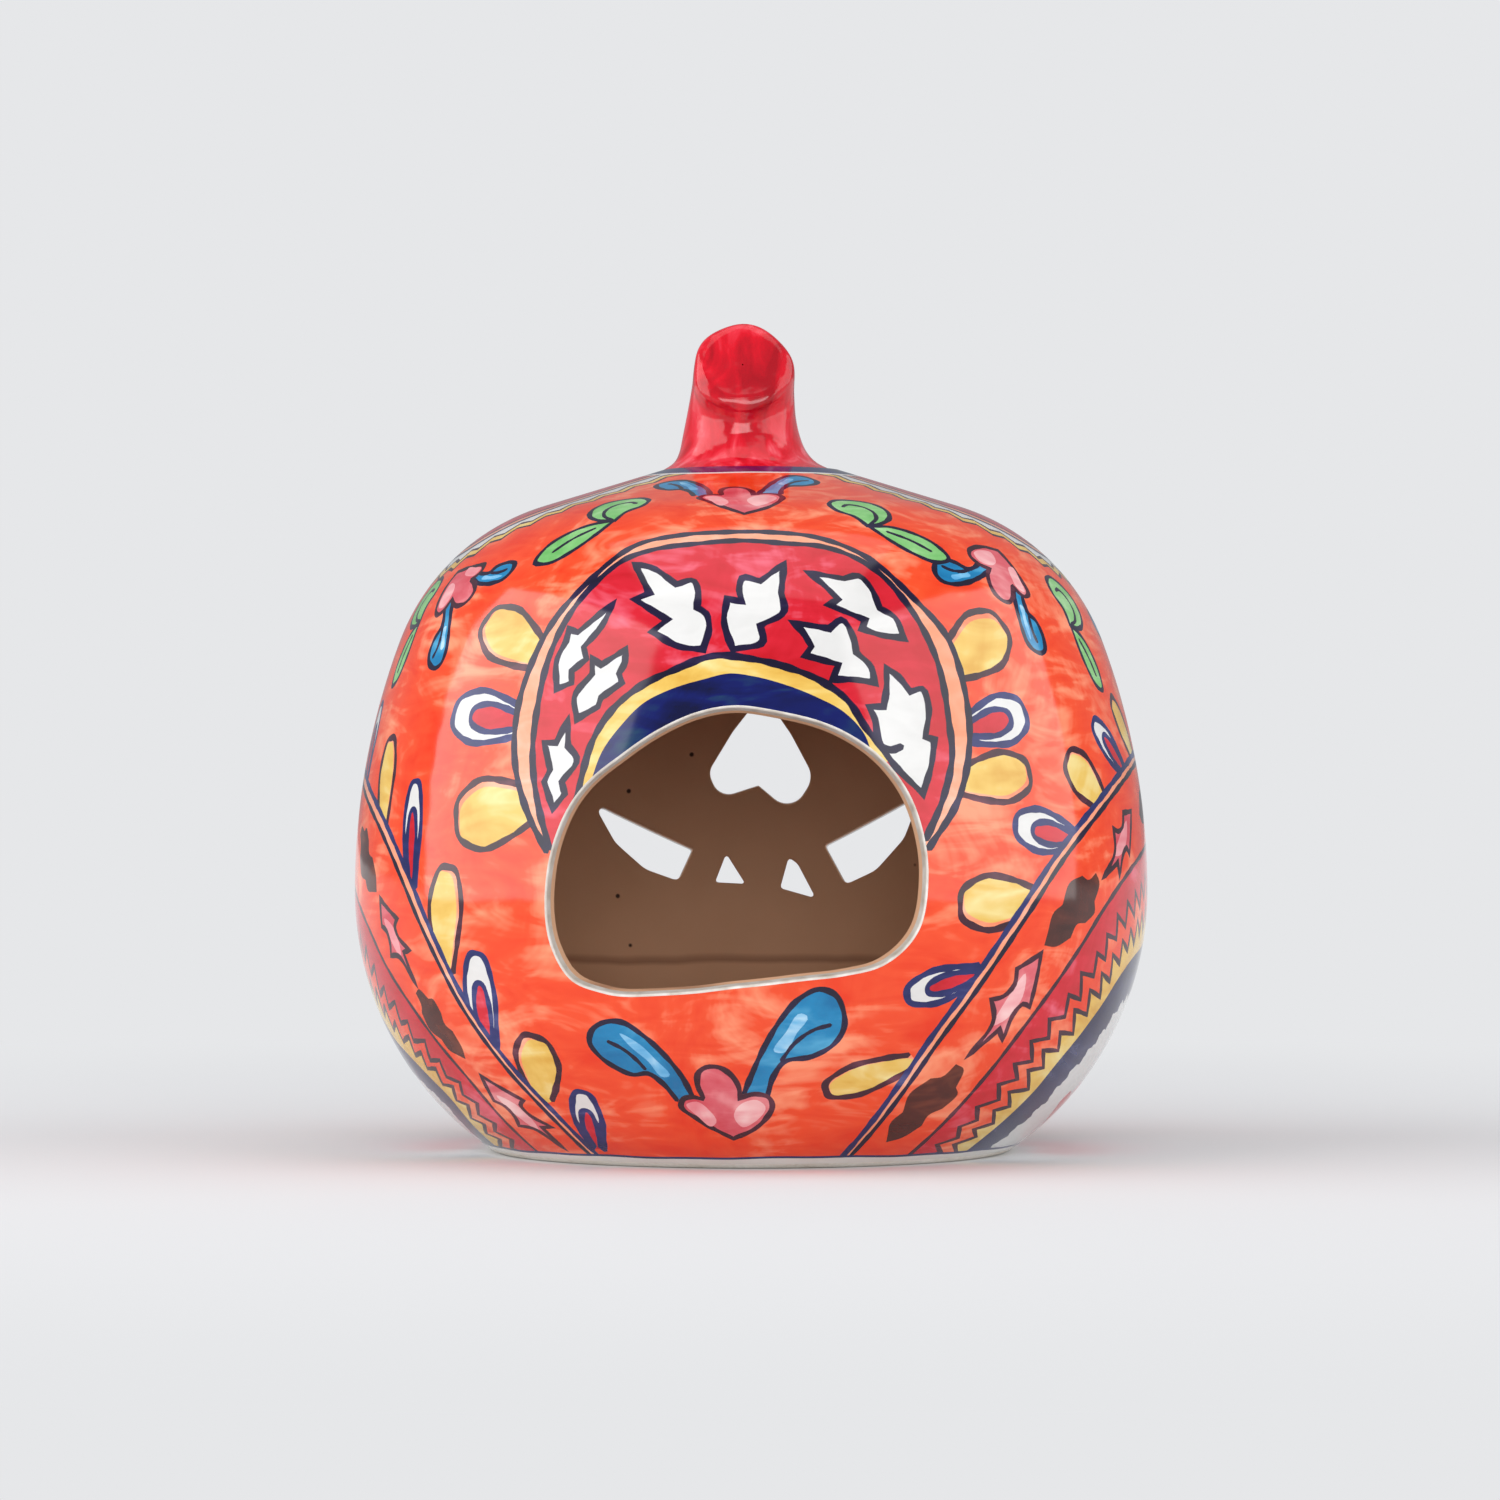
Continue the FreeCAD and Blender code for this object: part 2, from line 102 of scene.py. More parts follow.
def setRamp(node, stops):
    # colours or grey levels along a ramp
    ramp = node.color_ramp
    while len(ramp.elements) < len(stops):
        ramp.elements.new(0.5)
    for element, (place, colour) in zip(ramp.elements, stops):
        element.position = place
        element.color = linear(colour) if isinstance(colour, str) else (colour, colour, colour, 1)
    return node.outputs["Color"]


def finishShader(tree, shader, height=None, depth=0.0001):
    # height is a bump in metres of depth
    if height is not None:
        bump = addNode(tree, "Bump", Strength=1.0, Distance=depth, Height=height)
        tree.links.new(bump.outputs[0], shader.inputs["Normal"])
    addNode(tree, "OutputMaterial", Surface=shader.outputs[0])


# The cast shell, in millimetres: three tangent arcs from foot to crown, then a straight slope to the seat.
shell = {
    "bellyRadius": 70.0, "bellyHeight": 46.0,
    "lowerCurve": 55.2, "sideCurve": 126.0, "shoulderCurve": 39.0, "shoulderStart": 90.1,
    "wall": 3.5, "seatRadius": 15.6, "seatHeight": 120.3, "crown": 4.5,
    "slabRadius": 41.5, "slabThick": 3.5, "slabGap": 0.05,
    "footEdge": 0.9,  # softened edge of the foot
    "seam": 120,  # degrees round from the front where the painted chart is cut open
    "overlap": 0.12,  # radians of chart past the seam
    "grain": 1.7, "innerGrain": 2.6,  # spacing of the mesh
    "rowGap": 0.87,  # rows of points are this share of the spacing apart, as in even triangles
    "shake": 0.12, "turnedSides": 240,
    "brushRadius": 60,  # makes the angle round the axis about millimetres for the brush strokes
}


def wallLine(inset):
    # radius and height along the wall's section, foot first, that far inside the outer face
    belly = np.array((shell["bellyRadius"] - shell["lowerCurve"], shell["bellyHeight"]))
    side = np.array((shell["bellyRadius"] - shell["sideCurve"], shell["bellyHeight"]))
    turn = math.asin((shell["shoulderStart"] - shell["bellyHeight"]) / shell["sideCurve"])
    gap = shell["sideCurve"] - shell["shoulderCurve"]
    shoulder = side + gap * np.array((math.cos(turn), math.sin(turn)))
    seat = np.array((shell["seatRadius"], shell["seatHeight"]))
    reach = seat - shoulder
    crown = math.atan2(reach[1], reach[0]) - math.acos(shell["shoulderCurve"] / np.hypot(*reach))
    floor = shell["slabThick"] if inset else shell["footEdge"]
    lower, middle, upper = (shell[name] - inset for name in ("lowerCurve", "sideCurve", "shoulderCurve"))
    foot = -math.asin((shell["bellyHeight"] - floor) / lower)
    rows = []
    arcs = ((belly, lower, foot, 0), (side, middle, 0, turn), (shoulder, upper, turn, crown))
    for centre, radius, start, end in arcs:
        angles = np.linspace(start, end, 200)[:-1]
        rows.append(centre + radius * np.column_stack((np.cos(angles), np.sin(angles))))
    last = shoulder + upper * np.array((math.cos(crown), math.sin(crown)))
    end = seat
    if inset:
        under = np.array((0, shell["seatHeight"] - shell["crown"]))
        end = under + (last - under) * 3 / last[0]
    rows.append(last + (end - last) * np.linspace(0, 1, 60)[:, None])
    return np.vstack(rows)


def chartOf(line):
    # The wall unrolled: across is the angle round the axis, up is the length divided by the radius, so that
    # shapes keep their proportions.
    step = np.hypot(*np.diff(line, axis=0).T)
    middle = (line[1:, 0] + line[:-1, 0]) / 2
    along = np.concatenate(([0], np.cumsum(step)))
    up = np.concatenate(([0], np.cumsum(step / middle)))
    slope = np.gradient(line, along, axis=0)
    return {"r": line[:, 0], "z": line[:, 1], "s": along, "t": up, "nr": slope[:, 1], "nz": -slope[:, 0]}


outside = chartOf(wallLine(0))
inside = chartOf(wallLine(shell["wall"]))


def read(wall, want, key, values):
    # one measure of the wall where another has these values
    return np.interp(values, wall[key], wall[want])


def onWall(wall, points, out="r", up="z"):
    # chart points to millimetres; with nr and nz, to the wall's normals
    r, z = read(wall, out, "t", points[:, 1]), read(wall, up, "t", points[:, 1])
    return np.column_stack((r * np.sin(points[:, 0]), -r * np.cos(points[:, 0]), z))


def ontoChart(wall, places):
    # millimetres to chart points, the angle running on past half a turn
    angles = np.unwrap(np.arctan2(places[:, 0], -places[:, 1]))
    return np.column_stack((angles, read(wall, "t", "z", places[:, 2])))


def unit(vectors):
    return vectors / np.maximum(np.linalg.norm(vectors, axis=-1, keepdims=True), 1e-12)


def smoothLine(points, closed=False, step=0.8):
    # a hand-drawn line through the points; a third value marks a sharp corner
    spots = [np.array(p[:2], float) for p in points]
    sharp = [len(p) > 2 for p in points]
    count = len(spots)
    spans = count if closed else count - 1
    rows = []
    for i in range(spans):
        a, b = spots[i], spots[(i + 1) % count]
        length = max(np.linalg.norm(b - a), 1e-6)
        velocities = []
        for corner, other in ((i, i - 1), ((i + 1) % count, (i + 2) % count)):
            ending = not closed and corner in (0, count - 1)
            if sharp[corner] or ending:
                velocities.append((b - a) / length)
                continue
            outer = spots[other % count]
            reach = max(np.linalg.norm(outer - spots[corner]), 1e-6)
            away = (spots[corner] - outer) if corner == i else (outer - spots[corner])
            velocities.append((away / reach * length + (b - a) / length * reach) / (length + reach))
        u = np.linspace(0, 1, max(2, math.ceil(length / step)) + 1)[:-1, None]
        rows.append((2 * u ** 3 - 3 * u ** 2 + 1) * a + (u ** 3 - 2 * u ** 2 + u) * length * velocities[0]
                    + (3 * u ** 2 - 2 * u ** 3) * b + (u ** 3 - u ** 2) * length * velocities[1])
    if not closed:
        rows.append(spots[-1][None])
    return np.vstack(rows)


def turnSign(loop):
    following = np.roll(loop, -1, 0)
    return 1 if np.sum(loop[:, 0] * following[:, 1] - following[:, 0] * loop[:, 1]) > 0 else -1


def grow(loop, distance):
    # a closed outline moved outwards by that distance
    ahead, behind = unit(np.roll(loop, -1, 0) - loop), unit(loop - np.roll(loop, 1, 0))
    along = unit(ahead + behind)
    return loop + np.column_stack((along[:, 1], -along[:, 0])) * distance * turnSign(loop)


# The hand-cut mouth: its outline as drawn on a plane, and how its sides flare with depth.
mouth = {
    "plane": 66.0, "flareAcross": 82.0, "flareUpright": 85.0, "centre": (-2.5, 54.0),
    "edge": 0.4, "shake": 0.07,
    "outline": [
        (-2.5, 77.8), (-9.0, 76.9), (-15.2, 74.1), (-21.4, 70.5), (-31.9, 61.0), (-35.6, 50.0),
        (-34.9, 37.0),
        (-31.1, 31.4), (-25.1, 30.0), (-9.5, 31.3), (3.0, 33.0), (15.5, 34.1), (21.8, 35.2),
        (28.4, 41.0),
        (30.0, 50.0), (26.6, 64.0), (16.2, 73.5), (7.3, 76.3),
    ],
}
# Piercings in the back wall: centre (x, behind the axis, z), the knife's bearing and tilt, then corners
# (across, up, corner radius) about the centre.
piercings = {
    "heart": ((1.6, 66.0, 68.0), (0, 3), [
        (0.6, 13.6, 1.0), (5.9, 5.9, 14.0), (10.3, -2.4, 4.4), (6.0, -9.2, 3.6), (-0.2, -4.0, 0.4),
        (-7.6, -6.4, 3.2), (-9.7, -1.4, 3.2), (-5.0, 6.4, 14.0)]),
    "leftSlot": ((-19.7, 64.7, 51.9), (-8, -7), [
        (-10.8, 8.7, 0.9), (8.9, 0.2, 0.4), (6.1, -5.8, 1.3), (-0.4, -3.6, 6.0), (-6.2, 1.2, 6.0)]),
    "rightSlot": ((23.1, 63.5, 52.5), (9, -7), [
        (-9.5, 0.4, 0.5), (-5.4, -7.0, 1.2), (0.5, -4.4, 6.0), (6.1, 1.4, 6.0), (9.6, 9.7, 1.0)]),
    "leftNick": ((-4.2, 68.0, 47.5), (0, -1), [(-0.5, 3.7, 0.4), (-2.6, -1.7, 0.4), (3.1, -2.0, 0.3)]),
    "rightNick": ((8.4, 67.6, 46.8), (0, -1), [
        (-1.3, 3.7, 0.5), (-2.9, -2.1, 0.6), (3.8, -4.0, 0.4), (0.4, 2.5, 3.0)]),
}
pierceEdge = 0.3
searchFrom, searchTo, halvings = 38.0, 79.0, 40  # mm from the axis, where a cut is looked for in the wall


def roundedOutline(corners, step=0.7):
    # straight cuts with rounded corners
    spots = [np.array(c[:2], float) for c in corners]
    rows = []
    ends = []
    for i, (_, _, radius) in enumerate(corners):
        back, on = unit(spots[i - 1] - spots[i]), unit(spots[(i + 1) % len(spots)] - spots[i])
        half = math.acos(np.clip(back @ on, -1, 1)) / 2
        centre = spots[i] + unit(back + on) * radius / math.sin(half)
        first, last = spots[i] + back * radius / math.tan(half), spots[i] + on * radius / math.tan(half)
        a, b = first - centre, last - centre
        sweep = math.atan2(a[0] * b[1] - a[1] * b[0], a @ b)
        count = max(3, math.ceil(abs(sweep) * radius / step) + 1)
        angles = math.atan2(a[1], a[0]) + np.linspace(0, sweep, count)
        ends.append(centre + radius * np.column_stack((np.cos(angles), np.sin(angles))))
    for i, arc in enumerate(ends):
        rows.append(arc)
        onwards = ends[(i + 1) % len(ends)][0]
        count = math.ceil(np.linalg.norm(onwards - arc[-1]) / step)
        rows.append(arc[-1] + (onwards - arc[-1]) * (np.arange(1, count) / max(count, 1))[:, None])
    return np.vstack(rows)


def mouthCut(outline, depth):
    # the mouth's outline at that depth in front of the axis
    beyond = depth - mouth["plane"]
    cx, cz = mouth["centre"]
    x = cx + (outline[:, 0] - cx) * (1 + beyond / mouth["flareAcross"])
    z = cz + (outline[:, 1] - cz) * (1 + beyond / mouth["flareUpright"])
    return np.column_stack((x, -depth, z))


def knifeCut(centre, knife):
    # a straight cut along the knife, as a function of the outline and the depth behind the axis
    bearing, tilt = (math.radians(a) for a in knife)
    level = math.cos(tilt)
    onwards = np.array((math.sin(bearing) * level, math.cos(bearing) * level, math.sin(tilt)))
    across = np.array((math.cos(bearing), -math.sin(bearing), 0))
    upwards = np.cross(across, onwards)

    def cut(outline, depth):
        reach = (depth - centre[1])[:, None]
        return np.array(centre) + outline[:, :1] * across + outline[:, 1:] * upwards + onwards * reach

    return cut


def depthWhere(cut, outline, wall):
    # how far from the axis the cut's straight sides meet a wall
    near, far = np.full(len(outline), searchFrom), np.full(len(outline), searchTo)
    for _ in range(halvings):
        middle = (near + far) / 2
        place = cut(outline, middle)
        beyond = np.hypot(place[:, 0], place[:, 1]) > read(wall, "r", "z", place[:, 2])
        far = np.where(beyond, middle, far)
        near = np.where(beyond, near, middle)
    return (near + far) / 2


def softCorner(a, corner, b, count=4):
    # rows of points that round a corner
    return [a * (1 - u) ** 2 + corner * 2 * u * (1 - u) + b * u ** 2 for u in np.linspace(0, 1, count + 1)]


def cutHole(cut, outline, edge):
    # the hole's outline on each chart, and the rows of points of the cut wall between them
    outer, inner = depthWhere(cut, outline, outside), depthWhere(cut, outline, inside)
    wider = grow(outline, edge)
    onOuter = cut(wider, depthWhere(cut, wider, outside))
    onInner = cut(wider, depthWhere(cut, wider, inside))
    rows = softCorner(onOuter, cut(outline, outer), cut(outline, outer - edge))
    rows.append(cut(outline, (outer + inner) / 2))
    rows += softCorner(cut(outline, inner + edge), cut(outline, inner), onInner)
    return ontoChart(outside, onOuter), ontoChart(inside, onInner), np.array(rows)


print("cutting the openings")
mouthOutline = smoothLine(mouth["outline"], closed=True)
knifeWaver = np.linspace(0, 2 * math.pi, len(mouthOutline), endpoint=False)  # the blade shook a little
knifeShake = np.column_stack((np.sin(knifeWaver * 11), np.sin(knifeWaver * 14 + 1)))
mouthOutline = mouthOutline + mouth["shake"] * knifeShake
holes = [cutHole(mouthCut, mouthOutline, mouth["edge"])]
for centre, knife, corners in piercings.values():
    holes.append(cutHole(knifeCut(centre, knife), roundedOutline(corners), pierceEdge))

# The painting is a list of layers, first at the bottom: paint, outlines on the chart, and whether the mesh
# follows the outlines (not needed where ink covers them).
layers = []
# How the ink is laid: its weight, and slow and quick swells in it, with their lengths in mm.
inking = {"weight": 1.22, "slow": 0.13, "slowLength": 9, "quick": 0.09, "quickLength": 3.7, "overrun": 0.8}


def paint(name, loops, edged=True):
    layers.append((name, loops, edged))


def seenFromFront(points):
    # x and height as seen from the front
    x = points[:, 0] / read(outside, "r", "z", points[:, 1])
    return np.column_stack((np.arcsin(np.clip(x, -1, 1)), read(outside, "t", "z", points[:, 1])))


def byAngle(points):
    # degrees round from the front and height
    return np.column_stack((np.radians(points[:, 0]), read(outside, "t", "z", points[:, 1])))


def spot(degrees, height):
    return byAngle(np.array([(degrees, height)], float))[0]


def radiusAt(points):
    return read(outside, "r", "t", np.atleast_2d(points)[:, 1])


def placed(at, turn=0, size=1.0, mirror=False):
    # a motif drawn flat in millimetres, laid on the wall
    middle = spot(*at)
    scale = size / radiusAt(middle)[0]
    c, s = math.cos(math.radians(turn)), math.sin(math.radians(turn))

    def lay(points):
        x, y = points[:, 0] * (-1 if mirror else 1) * scale, points[:, 1] * scale
        return middle + np.column_stack((x * c - y * s, x * s + y * c))

    return lay


def lengthAlong(line):
    # mm from the start of a chart line to each of its points
    return np.concatenate(([0], np.cumsum(np.hypot(*np.diff(line, axis=0).T) * radiusAt(line[1:]))))


def mirroredLine(points, turnAt, count):
    # a line up to the angle turnAt and mirrored beyond it, in evenly spaced points
    line = byAngle(smoothLine(points, step=1.5))
    beyond = np.column_stack((2 * math.radians(turnAt) - line[::-1, 0], line[::-1, 1]))
    line = np.vstack((line, beyond[1:]))
    length = lengthAlong(line)
    even = np.linspace(0, length[-1], count)
    return np.column_stack([np.interp(even, length, line[:, i]) for i in (0, 1)]), length[-1]


def closedBeyond(line, rise):
    # closes an outline past the end of the wall: under the foot, or over the seat
    ends = line[[-1, 0]].copy()
    ends[:, 1] += rise
    return np.vstack((line, ends))


def brushLine(line, width, closed=False):
    # the outline of a brush stroke along a chart line, uneven as a hand leaves it
    ahead, behind = np.roll(line, -1, 0) - line, line - np.roll(line, 1, 0)
    if not closed:
        ahead[-1], behind[0] = behind[-1], ahead[0]
    ahead, behind = unit(ahead), unit(behind)
    along = unit(ahead + behind)
    aside = np.column_stack((-along[:, 1], along[:, 0]))
    mitre = 1 / np.clip(np.sum(along * behind, axis=1), 0.6, 1)
    length = lengthAlong(line)
    around = length * 2 * math.pi / max(length[-1], 1)
    slowly = around * round(length[-1] / inking["slowLength"] + 1) + dice.uniform(0, 6)
    quickly = around * round(length[-1] / inking["quickLength"] + 2) + dice.uniform(0, 6)
    press = 1 + inking["slow"] * np.sin(slowly)
    press += inking["quick"] * np.sin(quickly)
    half = (width * inking["weight"] / 2 * press * mitre / radiusAt(line))[:, None]
    left, right = line + aside * half, line - aside * half
    if closed:
        return [left, right[::-1]]
    start = line[:1] - ahead[:1] * half[:1] * inking["overrun"]
    end = line[-1:] + ahead[-1:] * half[-1:] * inking["overrun"]
    return [np.vstack((start, left, end, right[::-1]))]


def drawn(points, lay, fill=None, ink="ink", width=0.85, closed=True, step=0.8):
    # a hand-drawn shape or line: its paint, if any, and its ink
    line = lay(smoothLine(points, closed, step))
    if fill:
        paint(fill, [line], edged=False)
    paint(ink, brushLine(line, width, closed))


# The painted crescent over the mouth: x and height in mm, seen straight from the front.
crescent = {
    "outer": [
        (-34, 54), (-36.5, 58.5), (-39.5, 68.5), (-39, 78.5), (-37, 85), (-33.5, 92), (-27.5, 99),
        (-19, 105.5),
        (-12, 107), (-4.5, 107.5), (3, 107.5), (11.5, 106.5), (19, 103.5), (27, 96.5), (33, 89.5),
        (35.5, 82),
        (36.5, 72.5), (34.5, 62.5), (29.5, 54.5),
    ],
    "inner": [
        (-33.5, 54.5), (-35, 59.5), (-36.5, 69), (-35.5, 79.5), (-34, 86), (-30.5, 93.5), (-25, 100),
        (-21, 103),
        (-16.5, 104.5), (-9, 105.5), (-2, 106), (6, 105.5), (12, 105), (19.5, 102), (27, 94), (31, 86),
        (33, 75.5), (33.5, 70), (32, 63), (29, 56),
    ],
    "arch": [
        (-29, 62.5), (-28, 67), (-26.5, 72), (-23.5, 77), (-19, 81), (-13, 84), (-5.5, 86.5),
        (-0.5, 86), (6, 84.5),
        (12, 82), (16, 79), (19, 74.5), (23.5, 69),
    ],
    "archInner": [
        (-27, 64.5), (-24.5, 71), (-21.5, 75), (-18, 78.5), (-13, 81), (-8, 82.5), (-3.5, 83.5),
        (0.5, 83),
        (6, 81.5), (11, 79.5), (15.5, 77), (19, 73), (20, 70),
    ],
    "leaves": [
        [(-19.5, 102, 1), (-17, 101.5), (-12.5, 98.5, 1), (-9.5, 99), (-9, 98), (-9, 94.5, 1),
         (-7.5, 93.5), (-7, 91.5), (-8, 87.5, 1), (-12, 88), (-16.5, 90.5, 1), (-14, 92.5, 1),
         (-19.5, 96, 1), (-17, 97, 1), (-18.5, 100)],
        [(5.5, 102, 1), (5, 97, 1), (5.5, 94), (1.5, 91.5, 1), (2, 89), (-3, 87.5, 1), (-4, 90),
         (-4.5, 92), (-4, 96, 1), (-1.5, 95.5, 1), (-2, 97.5), (-1.5, 99.5), (1.5, 99, 1)],
        [(9.5, 100.5, 1), (15.5, 99.5, 1), (18, 100), (20, 98), (21.5, 94.5, 1), (24, 93),
         (25.5, 89.5, 1), (21.5, 90), (18.5, 91, 1), (19, 92.5, 1), (13, 95, 1), (14.5, 96, 1),
         (12, 98.5)],
        [(7, 92, 1), (13, 91, 1), (15, 92.5), (17, 89.5), (17.5, 87, 1), (20, 84.5), (20.5, 82, 1),
         (17, 82.5), (13.5, 82.5, 1), (14.5, 85, 1), (9, 86.5, 1), (10, 88, 1), (8.5, 90.5)],
        [(22.5, 84.5, 1), (24.5, 83), (26.5, 80.5, 1), (28.5, 81), (29.5, 78.5), (29, 73, 1),
         (30.5, 72.5, 1), (30, 68.5), (28.5, 63.5, 1), (22.5, 70), (21, 73), (20.5, 76), (19.5, 78, 1),
         (22, 78, 1), (22.5, 81)],
        [(-23, 95.5, 1), (-25, 91.5), (-28, 88, 1), (-27.5, 86, 1), (-30, 84, 1), (-30, 82, 1),
         (-32.5, 81, 1), (-32.5, 86), (-31, 89, 1), (-30.5, 91, 1), (-29, 90.5, 1)],
        [(-21, 87.5, 1), (-21, 85.5), (-22, 83.5, 1), (-21.5, 82, 1), (-25, 79.5, 1), (-25.5, 78, 1),
         (-29, 76, 1), (-29.5, 79.5), (-26.5, 83.5, 1), (-26.5, 86, 1), (-25, 85, 1)],
        [(-30.5, 76, 1), (-30.5, 71.5, 1), (-29, 69.5), (-31.5, 65.5, 1), (-31, 63.5, 1), (-33, 61, 1),
         (-34.5, 65.5, 1), (-33.5, 67.5, 1), (-34.5, 72, 1), (-32.5, 72, 1)],
    ],
    "bands": [("outer", "peach"), ("inner", "red"), ("arch", "yellow"), ("archInner", "navy")],
}
print("painting the petals")
petals = {
    # across in half widths, and along from base to tip
    "outline": [(-0.45, 0), (-0.8, 0.3), (-1, 0.62), (-0.7, 0.9), (0, 1), (0.7, 0.9), (1, 0.62),
                (0.8, 0.3), (0.45, 0)],
    # colour, base and tip (degrees round from the front, height), width in mm
    "places": [
        ("yellow", (-34.6, 86.7), (-47.6, 93.2), 9.5), ("loop", (-35.7, 75.5), (-49.6, 77.2), 11.5),
        ("yellow", (-32.7, 61.5), (-45.8, 59), 12), ("yellow", (31.8, 85), (44.1, 92), 10.5),
        ("loop", (33, 74.1), (44.4, 77.2), 10.5), ("yellow", (30.9, 65.5), (43.3, 67.1), 8.5),
        ("yellow", (24.2, 18.4), (12, 14.1), 6.5), ("loop", (33.1, 33.3), (22.5, 30), 7.4),
        ("yellow", (41.8, 45.6), (29.8, 45.4), 9.2), ("loop", (51.1, 55.9), (39.6, 57.9), 9),
        ("yellow", (60.2, 62.4), (52.3, 69.6), 8), ("loop", (71.1, 67), (61.9, 75.6), 7),
        ("yellow", (80.3, 69.4), (72.6, 79.5), 6.5),
        ("yellow", (-65.8, 58.4), (-67.7, 72.9), 7.4), ("loop", (-55.7, 48.5), (-56.7, 65.5), 7),
        ("yellow", (-48.7, 34.5), (-47.2, 51.1), 8.5), ("loop", (-43.8, 20.3), (-41.5, 36.6), 8.5),
        ("yellow", (-36.9, 12.6), (-33.7, 22.7), 8.5), ("loop", (-31.4, 3.5), (-28.5, 13.4), 6.5),
        # round the sides and behind, in the same rhythm
        ("loop", (-79, 65), (-80, 79), 7), ("yellow", (-92, 68.5), (-92, 82), 7),
        ("loop", (-105, 68.5), (-107, 81), 7), ("yellow", (-118, 66), (-122, 77.5), 7),
        ("loop", (92, 71), (90, 83), 7), ("yellow", (104, 69.5), (108, 81), 7),
        ("loop", (115, 66), (121, 76), 7),
    ],
}


def petal(colour, base, tip, width):
    foot, end = spot(*base), spot(*tip)
    foot = foot - (end - foot) * 0.06  # its root runs under the line it grows from
    along = end - foot
    aside = np.array((along[1], -along[0])) / np.linalg.norm(along)
    half = width / 2 / radiusAt((foot + end) / 2)[0]

    def lay(points):
        return foot + points[:, 1:] * along + points[:, :1] * aside * half

    tug = dice.uniform(-0.08, 0.08)
    outline = [(x * (0.8 if colour == "loop" else 1) + tug * y, y, *s) for x, y, *s in petals["outline"]]
    if colour == "yellow":
        # the wash of colour misses the outline on one side
        paint("paleOrange", [lay(smoothLine(outline, True, 0.1))], False)
        gap = dice.choice((-0.13, 0.1, 0.13))
        wash = [(x * 0.9 + gap, 0.02 + y * 0.93) for x, y in petals["outline"]]
        paint("yellow", [lay(smoothLine(wash, True, 0.1))])
        drawn(outline, lay, None, "umber", 0.95, False, 0.1)
    else:
        drawn(outline, lay, "white", "blueInk", 0.95, False, 0.1)
        inner = [(x * 0.42, 0.05 + y * 0.68) for x, y in petals["outline"]]
        paint("red", [lay(smoothLine(inner, True, 0.1))], False)
        drawn(inner, lay, None, "blueInk", 0.9, False, 0.1)


for place in petals["places"]:
    petal(*place)

print("painting the crescent and its leaves")
for name, colour in crescent["bands"]:
    paint(colour, [seenFromFront(smoothLine(crescent[name]))], edged=name == "archInner")
for name in ("outer", "inner", "arch"):
    drawn(crescent[name], seenFromFront, width=1.05, closed=False)
for leaf in crescent["leaves"]:
    drawn(leaf, seenFromFront, "white", width=0.96, step=1.0)
drawn([(21.4, 71.6), (23.2, 70.8), (25, 71.4)], seenFromFront, width=1.0, closed=False)

print("painting the side bands")
